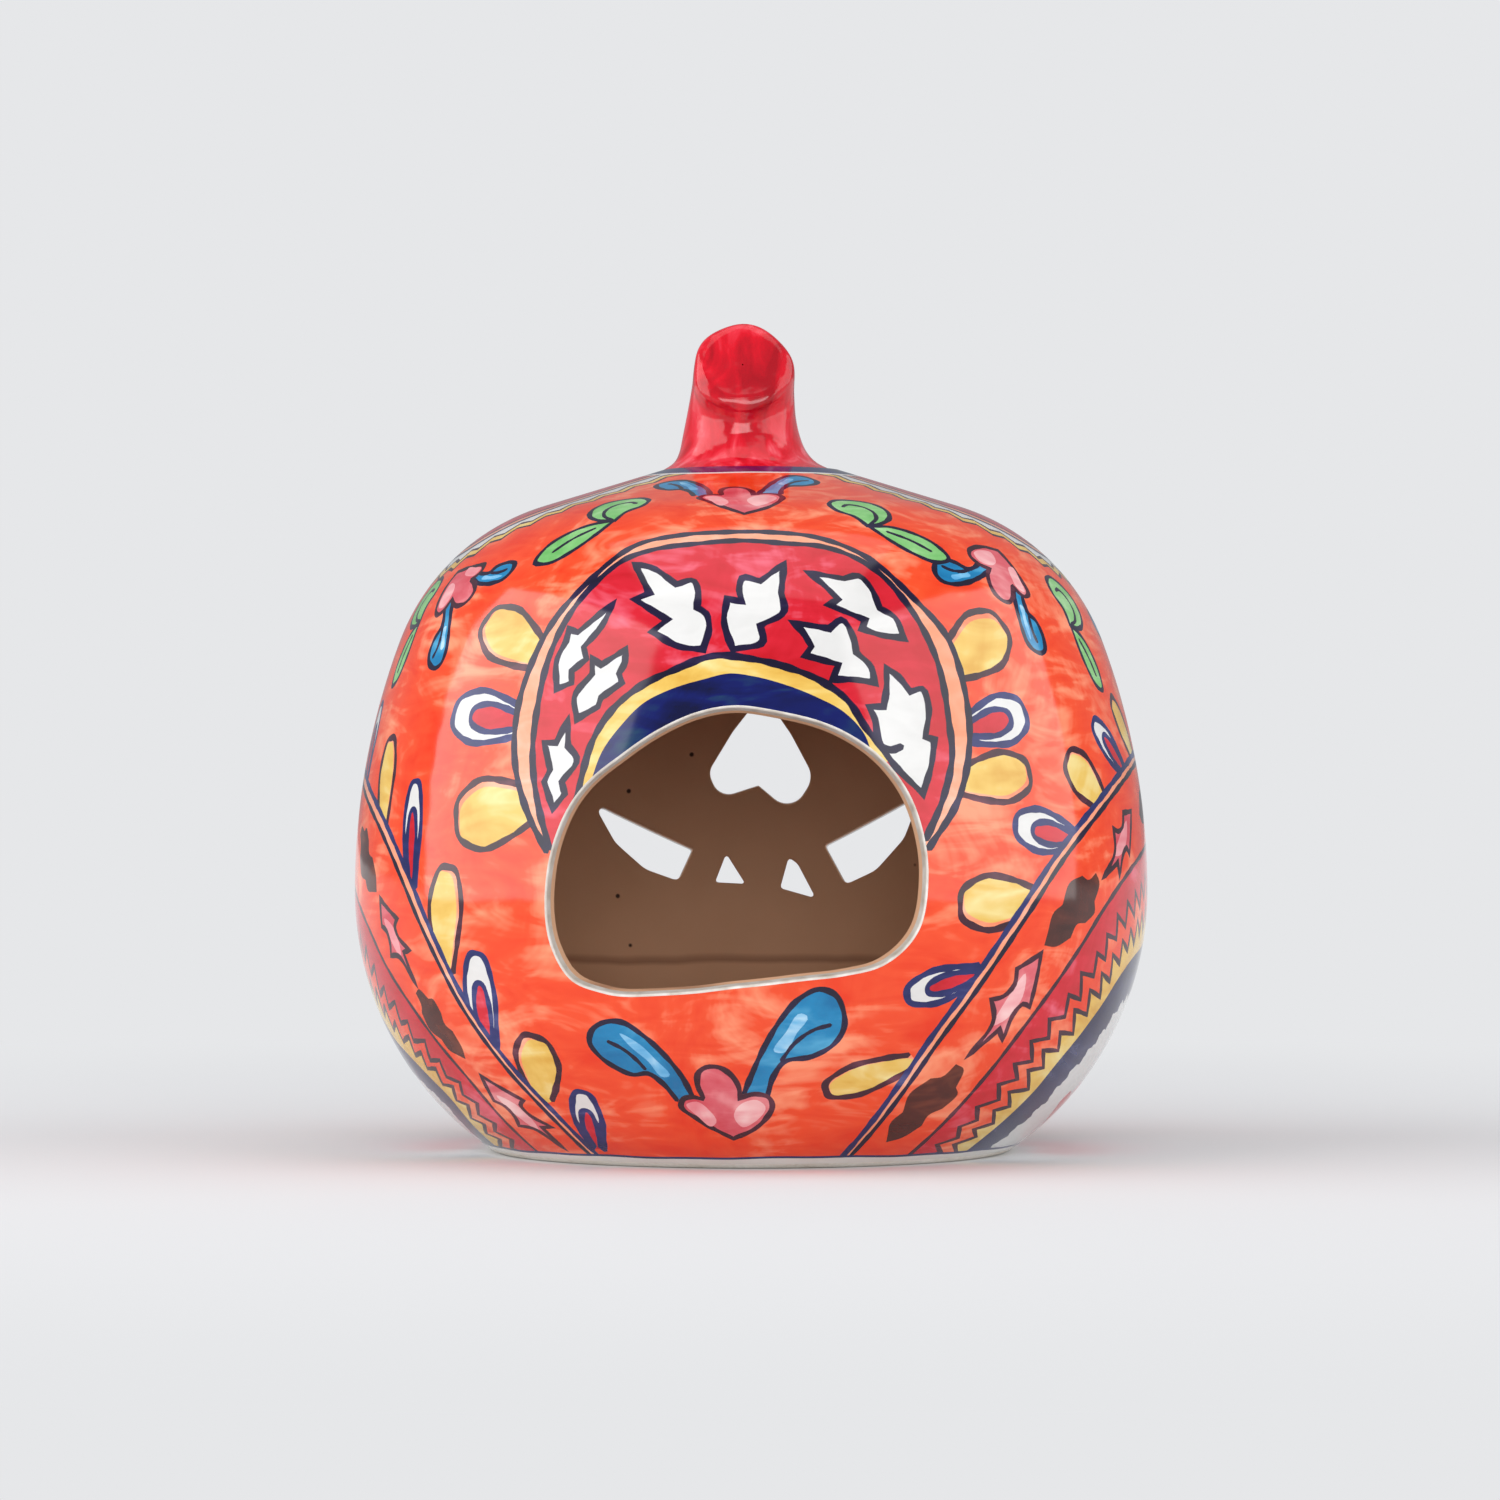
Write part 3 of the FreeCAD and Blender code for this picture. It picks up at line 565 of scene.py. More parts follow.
# Two guide lines run up each side from the foot and over to the back, where they come down mirrored.
bands = {
    "right": {
        "turnAt": 90,
        "outer": [(17.5, 0), (21, 7), (24.3, 15), (27.2, 22), (31.7, 30.3), (39.7, 43.3), (49, 54.5),
                  (57.6, 61), (68, 66.5), (76.4, 69.2), (90, 71)],
        "middle": [(33, 0), (36.5, 7), (41.2, 17), (44.3, 23.2), (48.5, 30), (53, 36.3), (59.6, 43.8),
                   (67.8, 49.3), (77.9, 53), (90, 55)],
    },
    "left": {
        "turnAt": -100,
        "outer": [(-32, 0), (-36, 9), (-40.5, 17), (-45.2, 26.6), (-50.5, 39), (-57, 50), (-65, 58.4),
                  (-77, 65), (-88, 68), (-100, 69)],
        "middle": [(-49.5, 0), (-51, 7), (-53.2, 14.6), (-56.7, 20.5), (-60.5, 26.4), (-66.4, 33.6),
                   (-71.2, 39.3), (-78.8, 44.5), (-89, 48), (-100, 49)],
    },
    # across a band, 0 is the outer guide and 1 the middle one
    "peachEdge": 0.11, "toothLow": 1.29, "toothHigh": 1.52, "secondLow": 1.6, "secondHigh": 1.86,
    "navyEdge": 2.04, "whiteEdge": 2.6,
    "tooth": 6.8, "toothShift": 0.16, "toothSway": 0.03,
    # the flower at the foot of each side: degrees past the turn and between petals, heights in mm
    "flowerShift": 6, "petalsEachWay": 4, "petalFoot": (2.2, 5.5, 0.6), "petalTip": (5.6, 17.5, 1.7),
    "petalSpread": 0.17,
    "steps": 181,
    # leaves along the bands: along and across in half lengths, then each one's kind, start and end
    "brownLeaf": [(-1, -0.1, 1), (-0.75, 0.35), (-0.35, 0.6, 1), (-0.1, 0.45), (0.15, 0.75, 1),
                  (0.5, 0.85), (0.62, 0.55, 1), (0.95, 0.35), (1, -0.1, 1), (0.75, -0.2),
                  (0.6, -0.6, 1), (0.2, -0.9), (-0.2, -0.6, 1), (-0.45, -0.7), (-0.8, -0.35)],
    "pinkLeaf": [(-1, 0, 1), (-0.25, -0.1), (-0.06, -0.4, 1), (0.1, -0.22), (0.36, -0.16),
                 (0.56, -0.3, 1), (1, 0, 1), (0.27, 0.45, 1), (0.22, 0.26), (0.07, 0.22),
                 (-0.42, 0.42, 1), (-0.33, 0.17, 1)],
    "pinkLight": [(-0.35, 0.0), (0.1, -0.12), (0.6, -0.08), (0.3, 0.16), (-0.2, 0.12)],
    "brownSpread": 0.55, "pinkSpread": 0.95,
    "leaves": [
        ("brownLeaf", (26.9, 4.4), (33.9, 17.9)), ("pinkLeaf", (35.1, 19.3), (44.9, 36.5)),
        ("brownLeaf", (45.6, 37.5), (57.4, 49.5)), ("pinkLeaf", (59.2, 49), (72.1, 60.2)),
        ("brownLeaf", (78, 59), (92, 64)), ("pinkLeaf", (98, 64.5), (114, 58.5)),
        ("brownLeaf", (120, 54), (131, 43)), ("pinkLeaf", (133, 39), (144, 21)),
        ("pinkLeaf", (-40.1, 2.6), (-49.1, 15.4)), ("brownLeaf", (-50.7, 18.4), (-57.9, 29.5)),
        ("pinkLeaf", (-57.4, 30.7), (-65.7, 45.2)), ("brownLeaf", (-66.9, 46.7), (-78.5, 56.4)),
        ("pinkLeaf", (-85, 58.5), (-101, 61)), ("brownLeaf", (-107, 60), (-119, 55.5)),
        ("pinkLeaf", (-124, 52), (-137, 40)), ("brownLeaf", (-139, 36), (-147, 24)),
    ],
}


for side in ("right", "left"):
    turnAt = bands[side]["turnAt"]
    outer, length = mirroredLine(bands[side]["outer"], turnAt, bands["steps"])
    middle, _ = mirroredLine(bands[side]["middle"], turnAt, bands["steps"])

    def across(share, line=slice(None)):
        return outer[line] + (middle[line] - outer[line]) * share

    def zigzag(low, high):
        # hand-painted teeth, unevenly long and deep
        teeth = round(length / bands["tooth"])
        rows = []
        for tooth in range(teeth * 2 + 1):
            place = (tooth + dice.uniform(-bands["toothShift"], bands["toothShift"])) / (teeth * 2)
            place = min(max(place, 0), 1) * (len(outer) - 1)
            i = min(int(place), len(outer) - 2)
            share = (high if tooth % 2 else low) + dice.uniform(-bands["toothSway"], bands["toothSway"])
            one, two = across(share, i), across(share, i + 1)
            rows.append((*(one + (two - one) * (place - i)), 1))
        return smoothLine(rows, step=0.02)

    firstTeeth = zigzag(bands["toothLow"], bands["toothHigh"])
    secondTeeth = zigzag(bands["secondLow"], bands["secondHigh"])
    navyEdge, whiteEdge = across(bands["navyEdge"]), across(bands["whiteEdge"])
    waver = np.sin(np.arange(len(outer)) * 0.9) * 0.02 + np.sin(np.arange(len(outer)) * 2.3) * 0.012
    whiteEdge = whiteEdge + (middle - outer) * waver[:, None] * 2
    for colour, line, edged in (
            ("peach", outer, False), ("orange", across(bands["peachEdge"]), False), ("red", middle, False),
            ("orange", firstTeeth, False), ("yellow", secondTeeth, False), ("slate", navyEdge, True),
            ("white", whiteEdge, True)):
        paint(colour, [closedBeyond(line, -0.2)], edged)
    paint("blueInk", brushLine(outer, 0.95))
    paint("ink", brushLine(across(bands["peachEdge"]), 0.8))
    paint("umber", brushLine(middle, 0.8))
    paint("umber", brushLine(firstTeeth, 0.75))
    paint("umber", brushLine(secondTeeth, 0.75))
    # a flower of red and pink petals fills the white heart of each side
    heartAt = turnAt + math.copysign(bands["flowerShift"], turnAt)
    for step in range(-bands["petalsEachWay"], bands["petalsEachWay"] + 1):
        base, end = (spot(heartAt + step * apart, height - abs(step) * drop)
                     for apart, height, drop in (bands["petalFoot"], bands["petalTip"]))
        along = end - base
        aside = np.array((along[1], -along[0])) * bands["petalSpread"]
        outline = smoothLine(petals["outline"], True, 0.12)
        paint("pink" if step % 2 else "red", [base + outline[:, 1:] * along + outline[:, :1] * aside])

for kind, low, high in bands["leaves"]:
    start, end = spot(*low), spot(*high)
    along = (end - start) / 2
    aside = np.array((along[1], -along[0])) * bands["brownSpread" if kind == "brownLeaf" else "pinkSpread"]

    def lay(points, middle=(start + end) / 2, x=along, y=aside):
        return middle + points[:, :1] * x + points[:, 1:] * y

    line = lay(smoothLine(bands[kind], True, 0.12))
    if kind == "brownLeaf":
        paint("brown", [line])
    else:
        paint("pink", [line], False)
        paint("palePink", [lay(smoothLine(bands["pinkLight"], True, 0.12))])
        paint("umber", brushLine(line, 0.8, True))

print("painting the back and the borders")
# A large medallion covers the back of the crown and frames the piercings.
back = {
    "edge": [(22, 120.25), (28.2, 119.6), (42.1, 116.7), (51.7, 111.2), (60, 107.5), (72, 101.5),
             (88, 98.5), (104, 93), (118, 85), (130, 76), (138, 66), (143, 56), (149, 46), (158, 38),
             (170, 34.5), (180, 34)],
    # mm in from the edge, where each stripe begins; then the teeth's length and depth
    "stripeOne": 0.2, "stripeTwo": 2.6, "white": 6.2, "line": 7.4, "peach": 9.6, "tooth": 6.0,
    "toothDepth": 1.8,
    "pierceRims": ((2.6, "ink"), (1.9, "yellow")),
    "leaves": [((159, 84), 20), ((-159, 84), -20), ((143, 92), 45), ((-143, 92), -45), ((180, 96), 0),
               ((124, 101), 70), ((-124, 101), -70)],
}


def backLine(inset, count=300):
    # the medallion's edge, or a line that far inside it in mm
    line, length = mirroredLine(back["edge"], 180, count)
    along = unit(np.gradient(line, axis=0))
    return line + np.column_stack((-along[:, 1], along[:, 0])) * inset / radiusAt(line)[:, None], length


def backTeeth(low):
    high = low + back["toothDepth"]
    _, length = backLine(0)
    teeth = round(length / back["tooth"])
    inner, outer = backLine(high, teeth * 2 + 1)[0], backLine(low, teeth * 2 + 1)[0]
    rows = [(*(inner if tooth % 2 else outer)[tooth], 1) for tooth in range(teeth * 2 + 1)]
    return smoothLine(rows, step=0.02)


stripeOuter, stripeInner = backTeeth(back["stripeOne"]), backTeeth(back["stripeTwo"])
for colour, line, edged in (
        ("yellow", stripeOuter, False), ("white", stripeInner, False),
        ("slate", backLine(back["white"])[0], True), ("peach", backLine(back["line"])[0], True),
        ("red", backLine(back["peach"])[0], False)):
    paint(colour, [closedBeyond(line, 0.3)], edged)
paint("umber", brushLine(stripeOuter, 0.6))
paint("umber", brushLine(stripeInner, 0.6))
paint("ink", brushLine(backLine(back["peach"])[0], 0.9))
for i, (at, turn) in enumerate(back["leaves"]):
    points = crescent["leaves"][i % 3]
    middle = np.mean([p[:2] for p in points], axis=0)
    leaf = [(p[0] - middle[0], p[1] - middle[1], *p[2:]) for p in points]
    drawn(leaf, placed(at, turn, 0.9), "white", width=0.9, step=1.0)
for centre, knife, corners in piercings.values():
    cut = knifeCut(centre, knife)
    rim = roundedOutline(corners, 1.0)
    for spread, colour in back["pierceRims"]:
        wide = grow(rim, spread)
        paint(colour, [ontoChart(outside, cut(wide, depthWhere(cut, wide, outside)))])

print("painting the tulips and sprigs")
tulip = {
    "flower": [(-3.6, 0), (-4.1, 2.9), (-3.6, 5.6), (-2.5, 6.4), (-0.4, 6.4), (1.3, 5.1), (2.5, 2.9),
               (2.8, 0.3, 1), (5.2, 1.1), (7.6, 0.3), (8.2, -1.3), (7.3, -4.4), (5.2, -7.3),
               (1.3, -10, 1), (-1.3, -8), (-4.9, -4.7), (-7.4, -1.5), (-6.7, 0), (-4.9, 0.4)],
    "lobes": [[(-6.4, -1.2), (-4.6, -0.6), (-2.6, -2.6), (-1.6, -5.6), (-2.4, -6.6), (-4.8, -4.0)],
              [(3.0, -1.0), (5.6, -0.2), (7.0, -1.6), (5.6, -5.0), (3.2, -6.8), (1.6, -4.0)]],
    "leaves": [
        ([(-5.2, 0.7), (-6.4, 4.4), (-9, 8.8), (-12, 12.1), (-15, 14.1), (-17.3, 14.1), (-20, 12.5),
          (-20.7, 10.6), (-19.7, 8.4), (-17.3, 6.2), (-14.4, 4.8), (-12, 5.1), (-9.9, 3.3), (-8.4, 0.7),
          (-7.9, -0.4)],
         [(-5.4, 0.7), (-6.6, 4.4), (-9.2, 8.6), (-12, 11.8), (-15, 13.6), (-17, 13.2), (-17.8, 11),
          (-17.2, 8.6), (-16, 6), (-14.4, 5.2), (-12, 5.3), (-9.9, 3.5), (-8.4, 0.9)],
         [(-17.6, 10.8), (-15.6, 9.7), (-13.2, 7.3), (-12.3, 5.9)],
         [(-15.5, 12.2), (-13, 10.8), (-10.4, 7.8), (-8.6, 4.6), (-9.4, 4.4), (-11.6, 7.4),
          (-14.4, 10.4)]),
        ([(3.4, 1.1), (4.6, 4.8), (6.7, 10.3), (9, 14.7), (11.7, 18), (14.4, 19.3), (16.7, 18.5),
          (18.2, 15.8), (18.5, 13.2), (17.3, 10.6), (14.1, 8.4), (9.6, 7.3), (8.2, 4.8), (7.3, 0.7)],
         [(3.8, 1.3), (5, 4.8), (7, 10.1), (9.3, 14.4), (11.9, 17.6), (13.6, 18.2), (15.2, 17),
          (17.2, 15), (17.6, 12.8), (16.4, 11), (13.6, 9), (9.4, 7.9), (7.8, 4.9), (6.9, 1.2)],
         [(9.3, 7.7), (11.1, 10.6), (14.1, 13), (16.4, 13.7)],
         [(8.2, 9.2), (9.8, 12.6), (12, 15.6), (12.8, 15.2), (11.4, 12.4), (9.4, 9)]),
    ],
    # place of the flower's shoulders (degrees, height), turn, size, and how far the leaves are drawn out
    "places": [((-4.5, 12.6), 0, 1.0, 1), ((-3.4, 114.4), 0, 0.88, 1.12),
               ((-60, 98.4), -128, 0.8, 0.72), ((49, 100.5), 132, 0.84, 0.72),
               ((-96, 96), -100, 0.8, 0.75), ((92, 88.5), 108, 0.7, 0.8), ((180, 101), 180, 0.9, 0.9)],
}
for at, turn, size, draw in tulip["places"]:
    lay = placed(at, turn, size)
    for outline, wash, vein, shine in tulip["leaves"]:
        rise = min(draw, 1)
        outline, wash, vein, shine = (
            [(x * draw, y * rise, *s) for x, y, *s in part] for part in (outline, wash, vein, shine))
        paint("teal", [lay(smoothLine(outline, True))], False)
        paint("teal", [lay(smoothLine(wash, True))])
        paint("lightBlue", [lay(smoothLine(shine, True))])
        drawn(outline, lay, None, "ink", 0.8, False)
        drawn(vein, lay, None, "ink", 0.6, False)
    drawn(tulip["flower"], lay, "pink", "umber", 0.8)
    for lobe in tulip["lobes"]:
        paint("palePink", [lay(smoothLine(lobe, True))])

sprig = {
    "curl": [(0, 0, 1), (-2.2, 2.2), (-5.0, 3.2), (-6.6, 5.8), (-5.6, 8.8), (-2.4, 10.2), (1.4, 9.8),
             (3.4, 7.4), (3.6, 4.4), (2.2, 1.8)],
    "curlVein": [(0.4, 0.6), (1.4, 3.2), (0.8, 5.8), (-1.2, 7.2), (-3.6, 6.8), (-4.2, 5.4)],
    "blade": [(0.2, 0, 1), (3.4, 1.3), (7, 1.2), (10.4, -0.2), (12, -2.4), (10.2, -3.9), (6.6, -3.7),
              (3.2, -2.2)],
    "bladeVein": [(3.0, -0.3), (6.4, -0.9), (9.4, -2.0)],
    # joint (degrees, height), turn, size, mirrored
    "places": [((24.6, 108.8), -24, 1.15, False), ((-30.5, 109.8), 36, 1.15, True),
               ((64, 92.4), -52, 1.05, False), ((-71, 93.2), 60, 1.0, True), ((-106, 92), 40, 1.0, True),
               ((148, 104), -20, 1.1, False), ((-148, 104), 20, 1.1, True)],
}
for at, turn, size, flip in sprig["places"]:
    lay = placed(at, turn, size, flip)
    drawn(sprig["curl"], lay, "green", "ink", 0.75)
    drawn(sprig["blade"], lay, "green", "ink", 0.75)
    drawn(sprig["curlVein"], lay, None, "ink", 0.6, False)
    drawn(sprig["bladeVein"], lay, None, "ink", 0.6, False)

# Where the painting ends: a wavering line over the foot and another under the stalk.
rings = {"points": 241, "footHeight": 1.8, "crownGap": 0.075}
ringAngles = np.linspace(-math.pi, math.pi, rings["points"])
footUp = read(outside, "t", "z", rings["footHeight"])
footLine = np.column_stack((ringAngles, np.full(rings["points"], footUp)))
footLine[:, 1] += 0.004 * np.sin(ringAngles * 3 + 1) + 0.003 * np.sin(ringAngles * 8)
footLine[:, 1] += 0.002 * np.sin(ringAngles * 21)
crownLine = np.column_stack((ringAngles, np.full(rings["points"], outside["t"][-1]) - rings["crownGap"]))
crownLine[:, 1] -= 0.02 * np.cos(ringAngles)
crownLine[:, 1] += 0.01 * np.sin(ringAngles * 4) + 0.006 * np.sin(ringAngles * 9 + 2)


def ring(line, low, high):
    # a stripe right round the lantern, between two shifts of a line in mm
    shift = np.column_stack((np.zeros(len(line)), 1 / radiusAt(line)))
    return [np.vstack((line + shift * low, (line + shift * high)[::-1]))]


paint("glazedWhite", ring(footLine, -4, 0))
paint("blueInk", ring(footLine, -0.1, 0.55))
paint("glazedWhite", ring(crownLine, -3.0, 4))
paint("navy", ring(crownLine, -2.3, 4))

print("meshing the wall")
seam = math.radians(shell["seam"])
chartEnds = (seam - 2 * math.pi, seam)
chartEdges = (chartEnds[0] - shell["overlap"], chartEnds[1] + shell["overlap"])


def around(loop):
    # the same outline wherever it shows on the chart, which overlaps itself a little at the seam
    for turns in (-1, 0, 1):
        moved = loop + (turns * 2 * math.pi, 0)
        if moved[:, 0].max() > chartEdges[0] and moved[:, 0].min() < chartEdges[1]:
            yield moved


def scatter(wall, grain):
    # staggered rows of points, shaken a little so that no two ways to join them are alike
    shaker, reach = np.random.default_rng(5), shell["shake"]
    rows = []
    count = round(wall["s"][-1] / (grain * shell["rowGap"]))
    for i, s in enumerate(np.linspace(0, wall["s"][-1], count + 1)):
        r, up = np.interp(s, wall["s"], wall["r"]), np.interp(s, wall["s"], wall["t"])
        n = round(2 * math.pi * r / grain)
        along = np.arange(n) + 0.5 * (i % 2) + shaker.uniform(-reach, reach, n)
        angles = chartEnds[0] + along / n * 2 * math.pi
        rise = shaker.uniform(-reach, reach, n) * grain / r if 0 < i < count else np.zeros(n)
        rows.append(np.column_stack((angles, up + rise)))
    points = np.vstack(rows)
    points = np.vstack([points + (turns * 2 * math.pi, 0) for turns in (-1, 0, 1)])
    return points[(points[:, 0] > chartEdges[0]) & (points[:, 0] < chartEdges[1])]


def windings(points, loop):
    # how many times the outline goes round each point
    total = np.zeros(len(points), int)
    px, py = points.T
    for (ax, ay), (bx, by) in zip(loop, np.roll(loop, -1, 0)):
        if ay == by:
            continue
        rows = (py >= min(ay, by)) & (py < max(ay, by))
        left = (bx - ax) * (py - ay) - (px - ax) * (by - ay)
        total += np.where(rows & (by > ay) & (left > 0), 1, 0)
        total -= np.where(rows & (by < ay) & (left < 0), 1, 0)
    return total


def covered(points, loops):
    # which points lie inside the outlines, counting overlaps of one stroke with itself as inside
    result = np.zeros(len(points), int)
    for loop in loops:
        for moved in around(loop):
            low, high = moved.min(axis=0), moved.max(axis=0)
            near = np.nonzero(np.all((points >= low) & (points <= high), axis=1))[0]
            if len(near):
                result[near] += windings(points[near], moved)
    return result != 0


def meshChart(wall, grain, loops):
    # triangles over the chart that follow the outlines
    scattered = scatter(wall, grain)
    points, edges = [scattered], []
    start = len(scattered)
    top = wall["t"][-1]
    for level in (0, top):
        points.append(np.array([(edge, level) for edge in chartEdges]))
        edges.append((start, start + 1))
        start += 2
    for loop in loops:
        for moved in around(loop):
            points.append(moved)
            edges += [(start + i, start + (i + 1) % len(moved)) for i in range(len(moved))]
            start += len(moved)
    everything = [Vector(p) for p in np.vstack(points)]
    verts, _, faces, *_ = delaunay_2d_cdt(everything, edges, [], 0, 1e-6, False)
    verts, faces = np.array([tuple(v) for v in verts]), np.array(faces)
    middles = verts[faces].mean(axis=1)
    keep = (middles[:, 0] >= chartEnds[0]) & (middles[:, 0] < chartEnds[1])
    keep &= (middles[:, 1] > 0) & (middles[:, 1] < top)
    faces, middles = faces[keep], middles[keep]
    one, two = verts[faces[:, 1]] - verts[faces[:, 0]], verts[faces[:, 2]] - verts[faces[:, 0]]
    area = one[:, 0] * two[:, 1] - one[:, 1] * two[:, 0]
    faces[area < 0] = faces[area < 0][:, ::-1]
    real = np.abs(area) > 1e-10  # leaves out slivers with no area
    return verts, faces[real], middles[real]


paintNames = [
    "orange", "paleOrange", "peach", "red", "yellow", "navy", "slate", "teal", "lightBlue", "pink",
    "palePink", "green", "brown", "white", "glazedWhite", "ink", "blueInk", "umber",
    "rim", "lining", "bareFoot",
]
edgeLoops = [loop for _, loops, edged in layers if edged for loop in loops]
holeLoops = [hole[0] for hole in holes]
verts, faces, middles = meshChart(outside, shell["grain"], edgeLoops + holeLoops)
faces = faces[~covered(middles, holeLoops)]
middles = verts[faces].mean(axis=1)
colours = np.zeros(len(faces), int)
for name, loops, _ in layers:
    colours[covered(middles, loops)] = paintNames.index(name)
print("outside has", len(faces), "faces")

# Each part of the shell's skin: places in mm, faces, paint numbers, normals, brush coordinates in mm.
parts = []


def addPart(places, faces, paints, normals, brush):
    used, numbered = np.unique(faces, return_inverse=True)
    parts.append((places[used], numbered.reshape(faces.shape), paints, normals[used], brush[used]))


def addWall(wall, verts, faces, paints, side):
    brush = np.column_stack((verts[:, 0] * shell["brushRadius"], read(wall, "s", "t", verts[:, 1])))
    addPart(onWall(wall, verts), faces, paints, side * onWall(wall, verts, "nr", "nz"), brush)


addWall(outside, verts, faces, colours, 1)

innerLoops = [hole[1] for hole in holes]
verts, faces, middles = meshChart(inside, shell["innerGrain"], innerLoops)
faces = faces[~covered(middles, innerLoops)][:, ::-1]
addWall(inside, verts, faces, np.full(len(faces), paintNames.index("lining")), -1)


def addSheet(rows, finish, outwards):
    # a skin through closed rows of points that all have the same count; outwards gives a way that it faces
    rows = np.array(rows)
    deep, count = rows.shape[:2]
    normals = unit(np.cross(np.gradient(rows, axis=0), np.roll(rows, -1, 1) - np.roll(rows, 1, 1)))
    sign = np.sign(np.sum(normals * outwards(rows)))
    i, j = np.meshgrid(np.arange(deep - 1), np.arange(count), indexing="ij")
    i, j = i.ravel(), j.ravel()
    after = (j + 1) % count
    a, b, c, d = i * count + j, i * count + after, (i + 1) * count + after, (i + 1) * count + j
    faces = np.vstack((np.column_stack((a, b, c)), np.column_stack((a, c, d))))
    if sign > 0:
        faces = faces[:, ::-1]
    flat = rows.reshape(-1, 3)
    paints = np.full(len(faces), paintNames.index(finish))
    parts.append((flat, faces, paints, normals.reshape(-1, 3) * sign, flat[:, [0, 2]]))


for _, _, rows in holes:
    middle = rows.mean(axis=(0, 1))
    # the cut faces look towards the middle of the opening; the liner runs half way out over them
    for run, finish in ((rows[:6], "rim"), (rows[5:], "lining")):
        addSheet(run, finish, lambda sheet, m=middle: m - sheet)


def turnedRows(pairs):
    # rings round the axis, from pairs of radius and height
    count = shell["turnedSides"]
    angles = np.linspace(0, 2 * math.pi, count, endpoint=False)
    across, back = np.sin(angles), -np.cos(angles)
    return [np.column_stack((r * across, r * back, np.full(count, z))) for r, z in pairs]


holeRadius = shell["slabRadius"] + shell["slabGap"]
footAt = wallLine(0)[0]
footRadius = shell["bellyRadius"] - shell["lowerCurve"]
footRadius += math.sqrt(shell["lowerCurve"] ** 2 - shell["bellyHeight"] ** 2)
corner = np.array((footRadius, 0.0))
softened = softCorner(footAt, corner, corner - (shell["footEdge"], 0))
insideLine = wallLine(shell["wall"])
topInside = insideLine[-1]
# the foot, the side of the pour hole, the ledge inside it, the seat under the stalk, the crown's underside
turnings = [
    (softened + [np.array((holeRadius, 0.0))], "bareFoot", lambda rows: rows * (0.3, 0.3, 0) - (0, 0, 40)),
    ([(holeRadius, 0.0), (holeRadius, shell["slabThick"])], "bareFoot", lambda rows: -rows),
    ([(holeRadius, shell["slabThick"]), insideLine[0]], "lining", lambda rows: rows * 0 + (0, 0, 1)),
    ([(shell["seatRadius"], shell["seatHeight"]), (12, shell["seatHeight"])], "ink",
     lambda rows: rows * 0 + (0, 0, 1)),
    ([topInside, (0.05, topInside[1] + 0.3)], "lining", lambda rows: rows * 0 - (0, 0, 1)),
]
for pairs, finish, outwards in turnings:
    addSheet(turnedRows(pairs), finish, outwards)


def newPiece(name, places, faces, normals=None, paints=None, brush=None):
    # places in mm
    mesh = bpy.data.meshes.new(name)
    mesh.from_pydata((places * mm).tolist(), [], faces.tolist())
    mesh.polygons.foreach_set("use_smooth", np.ones(len(faces), bool))
    if paints is not None:
        mesh.polygons.foreach_set("material_index", paints.astype(np.int32))
    if brush is not None:
        corners = np.empty(len(mesh.loops), np.int32)
        mesh.loops.foreach_get("vertex_index", corners)
        layer = mesh.uv_layers.new(name="brush")
        layer.data.foreach_set("uv", brush[corners].astype(np.float32).ravel())
    mesh.update()
    if normals is not None:
        mesh.normals_split_custom_set_from_vertices(unit(normals).tolist())
    piece = bpy.data.objects.new(name, mesh)
    scene.collection.objects.link(piece)
    return piece


starts = np.cumsum([0] + [len(part[0]) for part in parts])
lantern = newPiece(
    "lantern_shell",
    np.vstack([part[0] for part in parts]),
    np.vstack([part[1] + start for part, start in zip(parts, starts)]),
    np.vstack([part[3] for part in parts]),
    np.concatenate([part[2] for part in parts]),
    np.vstack([part[4] for part in parts]),
)
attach(lantern, "lantern")
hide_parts("body_shell")
print("shell has", len(lantern.data.polygons), "faces")

# Underglaze paint washed on by brush, then dipped in clear glaze and fired: the colour pools and thins in
# streaks, under a smooth and glossy coat. Full wash, middle and thin wash, then how much of it is thin.
paints = {
    "orange": ("#DC3206", "#E4481E", "#F08F6A", 0.55),
    "paleOrange": ("#E8663C", "#EC8862", "#F2B498", 0.6),
    "peach": ("#E68A64", "#EA9C7C", "#EFB8A0", 0.4),
    "red": ("#B80A1C", "#C81A2C", "#DE6074", 0.36),
    "yellow": ("#CF9E3E", "#DCB65A", "#E6D492", 0.5),
    "navy": ("#030836", "#08145A", "#1C4058", 0.42),
    "slate": ("#1C1C40", "#2A2B52", "#55587C", 0.3),
    "teal": ("#04689A", "#127CAE", "#4CA0C8", 0.4),
    "lightBlue": ("#3E90C4", "#6CB0D8", "#B4D6E8", 0.5),
    "pink": ("#C43E4C", "#D05E68", "#E4979A", 0.45),
    "palePink": ("#DC7E86", "#E49EA2", "#EEC6C4", 0.5),
    "green": ("#62AC5A", "#82BE76", "#B0D6A4", 0.45),
    "brown": ("#38150E", "#4E2016", "#7C3C26", 0.35),
    "white": ("#D0CFCD", "#D6D5D3", "#DCDBD9", 0.3),
    "glazedWhite": ("#D8D4CE", "#DEDBD6", "#E4E2DE", 0.3),
    "ink": ("#0E0824", "#1A1234", "#3A3054", 0.2),
    "blueInk": ("#141C52", "#242C66", "#545C8E", 0.3),
    "umber": ("#2C0F1C", "#40182A", "#703C4C", 0.3),
}
